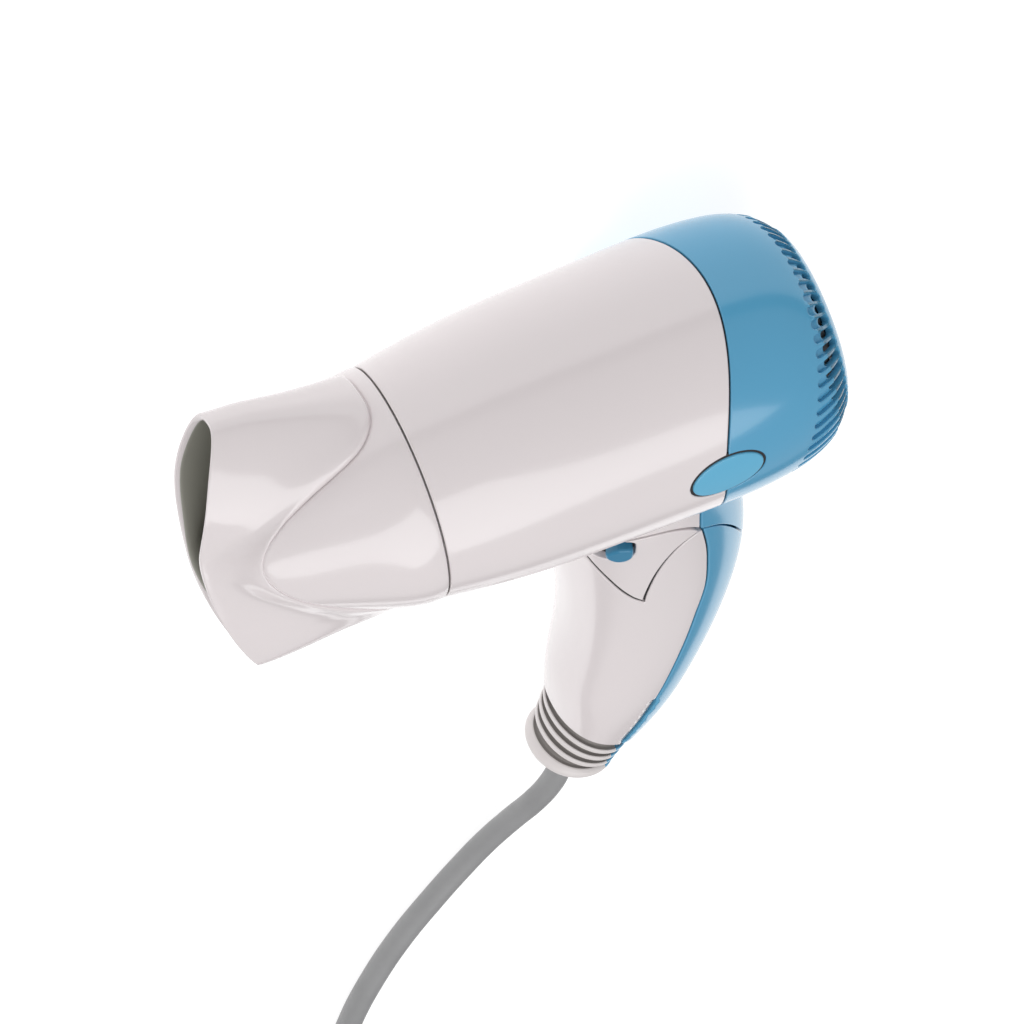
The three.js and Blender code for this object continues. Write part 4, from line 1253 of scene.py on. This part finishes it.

# dark bed behind the seams of the grip: painted shade seen through the seam gaps
for side in (1, -1):
    bed = ccw(handle_uv(keep_in(resample(np.array([(-49.6, -56), (-49.6, -60), (-60, -87), (-66, -88), (-72, -66), (-84.5, -56), (-84.5, -52.5), (-76, -47.2), (-64.5, -44.2), (-52, -48.2)]), 1.2), KN - 1.8), side))
    finish_patch("grip_bed_" + ("left" if side > 0 else "right"), [patch(handle_surf(-2.25), [bed], h=2.4, r=0, depth=0.6)], M_GAP_SHADE, "grip", "dark_blue_plastic")
strip = []
for side in (1, -1):
    q = seam[(seam[:, 1] < -56) & (seam[:, 1] > -138.5)]
    c1, c2 = handle_uv(q + np.array([1.6, 0]), side), handle_uv(q + np.array([-1.6, 0]), side)
    rows_ = []
    for uv, d in ((c1, -0.6), (c2, -0.6), (c2, -1.6), (c1, -1.6), (c1, -0.6)):
        rows_.append(handle_surf(d)(uv)[0])
    V = np.concatenate(rows_)
    F = grid_faces(5, len(q), closed=False)
    strip.append((V, np.tile([0, 1.0, 0], (len(V), 1)), F))
for side in (1, -1):
    for q, d0, d1 in ((vf[2:], 1.4, -1.4), (w_vr[:-3], 1.4, -1.4)):
        q = np.asarray(q)
        t = np.gradient(q, axis=0)
        t /= np.linalg.norm(t, axis=1, keepdims=True)
        nn = np.column_stack([-t[:, 1], t[:, 0]])
        c1, c2 = handle_uv(q + nn * d0, side), handle_uv(q + nn * d1, side)
        rows_ = [handle_surf(d)(uv)[0] for uv, d in ((c1, -0.45), (c2, -0.45), (c2, -1.6), (c1, -1.6), (c1, -0.45))]
        V = np.concatenate(rows_)
        strip.append((V, np.tile([0, 1.0, 0], (len(V), 1)), grid_faces(5, len(q), closed=False)))
V, N, F, M = join_parts(strip)
add_mesh("grip_seam_bed", V, F, M_GAP_SHADE, "grip", "dark_blue_plastic")

# neck: white flanks and blue saddle, fixed to the housing
KN2 = KN + 0.32
XS = -80.8
for side, nm in ((1, "left"), (-1, "right")):
    a1 = math.degrees(math.acos((XS + G2 - PX) / KN2))
    arcn = arc2(KN2, 73, a1, 60)
    poly = np.vstack([arcn, [(XS + G2, -33.5)], [(PX + KN2 * math.cos(math.radians(73)), -33.5)]])
    uv = ccw(handle_uv(resample(poly, 0.5), side))
    finish_patch("neck_" + nm, [patch(handle_surf(), [uv], h=1.8, r=0.42, depth=4.5)], M_WHITE, "barrel", "white_plastic", ["neck_front"] if side > 0 else [])
trn = curve(TOP_REAR, 0.4) + np.array([-0.35, 0.28])
trn = trn[trn[:, 0] < XS - G2 - 0.3]
a1 = math.degrees(math.acos(max(-1, (XS - G2 - PX) / KN2)))
line = np.vstack([[(XS - G2, -33.5)], [(XS - G2, PZ + KN2 * math.sin(math.radians(a1)))], trn])
line = resample(line, 0.4, closed=False)
l_uv = handle_uv(line, 1, True)
k = int(np.argmax(l_uv[:, 0] > math.pi * HU - 0.35)) or len(l_uv)
l_uv = l_uv[:k]
r_uv = mirror_r(l_uv)
topn = np.column_stack([np.linspace(r_uv[-1, 0], l_uv[0, 0], 60), np.full(60, l_uv[0, 1])])
loop = resample(np.vstack([l_uv, r_uv, topn[1:-1]]), 0.5)
finish_patch("neck_saddle", [patch(handle_surf(), [ccw(loop)], h=1.8, r=0.42, depth=2.2)], M_BLUE, "barrel", "blue_plastic", ["neck_rear"])

# switch
btn = keep_in(resample(rounded_rect(-60.5, -53.7, -53.9, -46.6, (1.6, 1.6, 3.7, 3.4)), 0.3), KN - 0.6, PX - 3.0)
uv = ccw(handle_uv(resample(btn, 0.3)))
finish_patch("switch_slide", [patch(handle_surf(1.5), [uv], h=0.7, r=1.0, depth=4.6)], M_SWITCH, "switch", "dark_blue_plastic", ["switch_button"])
# dark well under the button: painted shade seen round the switch
skirt = rounded_rect(-62.4, -48.2, -55.6, -43.2, (2.5, 2.5, 4.0, 4.0))
uv = ccw(handle_uv(resample(keep_in(resample(skirt, 0.5), KN - 1.4), 0.8)))
finish_patch("switch_well", [patch(handle_surf(-2.9), [uv], h=1.8, r=0, depth=0.8)], M_GAP_SHADE, "grip", "dark_blue_plastic")

# ------------------------------------------------------------- end sleeve
SLEEVE = [[-55.5, -163.9, 33, 11.5, 12.8], [-54.9, -165.4, 33, 11.4, 12.8], [-54.4, -166.6, 33, 13.1, 14.6], [-53.9, -167.9, 33, 12.9, 14.4], [-53.5, -168.9, 32, 11.0, 12.2],
          [-53.0, -170.1, 32, 12.8, 14.1], [-52.5, -171.4, 31, 12.6, 13.9], [-52.1, -172.4, 31, 10.6, 11.8], [-51.6, -173.6, 30, 12.5, 13.6], [-51.1, -174.8, 29, 12.3, 13.4],
          [-50.4, -176.2, 25, 10.4, 11.3], [-50.0, -176.95, 22, 11.8, 12.5], [-49.3, -178.0, 18, 13.1, 13.6], [-48.7, -179.9, 18, 12.5, 13.0], [-48.3, -181.5, 21, 9.2, 9.8]]
n = 96
th = np.linspace(0, 2 * math.pi, n, endpoint=False)


KB = 28


def seam_x(z):
    return np.interp(-z, [-p[1] for p in SIDE_SEAM], [p[0] for p in SIDE_SEAM])


def ell(sec, dr=0.0, p=2.05, shift=0.0):
    """One ring of the sleeve; column KB lies on the colour boundary."""
    cx, cz, t, a, b = sec
    t = math.radians(t)

    def at(q):
        c, w = np.cos(q), np.sin(q)
        r = (np.abs(c / (a + dr)) ** p + np.abs(w / (b + dr)) ** p) ** (-1 / p)
        return np.column_stack([cx + r * c * math.cos(t) + shift * math.sin(t), r * w, cz + r * c * math.sin(t) - shift * math.cos(t)])
    tf = np.linspace(0.6, 2.6, 800)
    P = at(tf)
    k = np.where(P[:, 0] - seam_x(P[:, 2]) + 0.2 < 0)[0]
    ts = tf[k[0]] if len(k) else tf[-1]
    h = np.where(th <= math.pi, th, 2 * math.pi - th)
    tb = KB * 2 * math.pi / n
    h = np.where(h < tb, h * ts / tb, math.pi - (math.pi - h) * (math.pi - ts) / (math.pi - tb))
    return at(np.where(th <= math.pi, h, 2 * math.pi - h))


rows_, kind = [], []
for i, sec in enumerate(SLEEVE):
    rib = sec[3] > 12.2 or i >= 11
    if i == 0:
        rows_.append(ell(sec, -3.0)); kind.append(1)
    if 2 <= i <= 11 and SLEEVE[i - 1][3] < sec[3] - 0.8:
        rows_.append(ell(sec, -1.6, shift=-0.32)); kind.append(1)
        rows_.append(ell(sec, -0.25, shift=-0.3)); kind.append(0)
    rows_.append(ell(sec)); kind.append(0 if rib else 1)
    if rib and i + 1 < len(SLEEVE) and SLEEVE[i + 1][3] < sec[3] - 0.8 and i < 10:
        rows_.append(ell(sec, -0.25, shift=0.28)); kind.append(0)
        rows_.append(ell(sec, -1.6, shift=0.32)); kind.append(1)
last = SLEEVE[-1]
rows_.append(ell([last[0] + 0.18, last[1] - 0.5, 27, 7.6, 8.0])); kind.append(0)
rows_.append(ell([last[0] + 0.2, last[1] - 0.5, 27, 4.9, 4.9], p=2)); kind.append(0)
rows_.append(ell([last[0] - 0.4, last[1] + 1.0, 27, 3.9, 3.9], p=2)); kind.append(1)
rows_.append(ell([last[0] - 2.4, last[1] + 6.0, 28, 3.9, 3.9], p=2)); kind.append(1)
V = np.concatenate(rows_)
F = grid_faces(len(rows_), n)
fn = np.cross(V[F[0]][1] - V[F[0]][0], V[F[0]][2] - V[F[0]][0])
# faces of the recessed rows take the groove materials: painted shade in the grooves and at the cord entry
fm = []
for i, f in enumerate(F):
    c = V[f].mean(0)
    r_ = i // n
    groove = kind[r_] or kind[r_ + 1]
    blue_side = KB <= i % n < n - KB and r_ < len(rows_) - 4
    fm.append((3 if groove else 2) if blue_side else (1 if groove else 0))
c0 = V[F[n * 3]]
fn = np.cross(c0[1] - c0[0], c0[2] - c0[0])
if fn @ (c0[0] - V[n * 3:n * 4].mean(0)) < 0:
    F = [f[::-1] for f in F]
sl = add_mesh("cord_guard", V, F, [M_SLEEVE, M_GROOVE_SHADE, M_BLUE, M_BLUE_GROOVE_SHADE], "grip", "white_plastic", face_mat=fm, replaces=["cord_sleeve"])
md = sl.modifiers.new("smooth", "SUBSURF")
md.levels = md.render_levels = 2

# ------------------------------------------------- carried-over CAD pieces
CAD_LOOKS = {
    "intake_ring": M_BLACK, "dust_screen": M_MESH, "motor_mount": M_BLACK, "motor_can": M_STEEL, "motor_shaft": M_STEEL, "fan_impeller": M_BLACK,
    "mica_sleeve": M_MICA, "heater_board": M_MICA, "heater_board_left": M_MICA, "heater_board_right": M_MICA, "heater_winding_1": M_WIRE,
    "heater_winding_2": M_WIRE, "heater_winding_3": M_WIRE, "thermostat": M_STEEL, "thermal_fuse": M_STEEL, "outlet_grille": M_BLACK,
    "nozzle_collar": M_WHITE, "hinge_tongue": M_BLACK, "hinge_pin": M_STEEL, "hinge_cheek_left": M_WHITE, "hinge_cheek_right": M_WHITE,
    "switch_block": M_BLACK, "terminal_block": M_BLACK, "cord_clamp": M_CORD, "grip_screw_upper": M_STEEL, "grip_screw_lower": M_STEEL,
    "cord_tie": M_BLACK, "plug_body": M_PLUG, "plug_pin_left": M_BRASS, "plug_pin_right": M_BRASS,
}
for nm, m in CAD_LOOKS.items():
    ob = NODES[nm]
    if not ob.data.materials:
        ob.data.materials.append(m)
    for slot_ in ob.material_slots:
        slot_.material = m

for name, (ob, body, slot, rep) in PIECES.items():
    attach(ob, body)
    if rep:
        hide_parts(*rep)
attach(lead, "grip")
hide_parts("cord_tube", "cord_coil", "cord_tail")
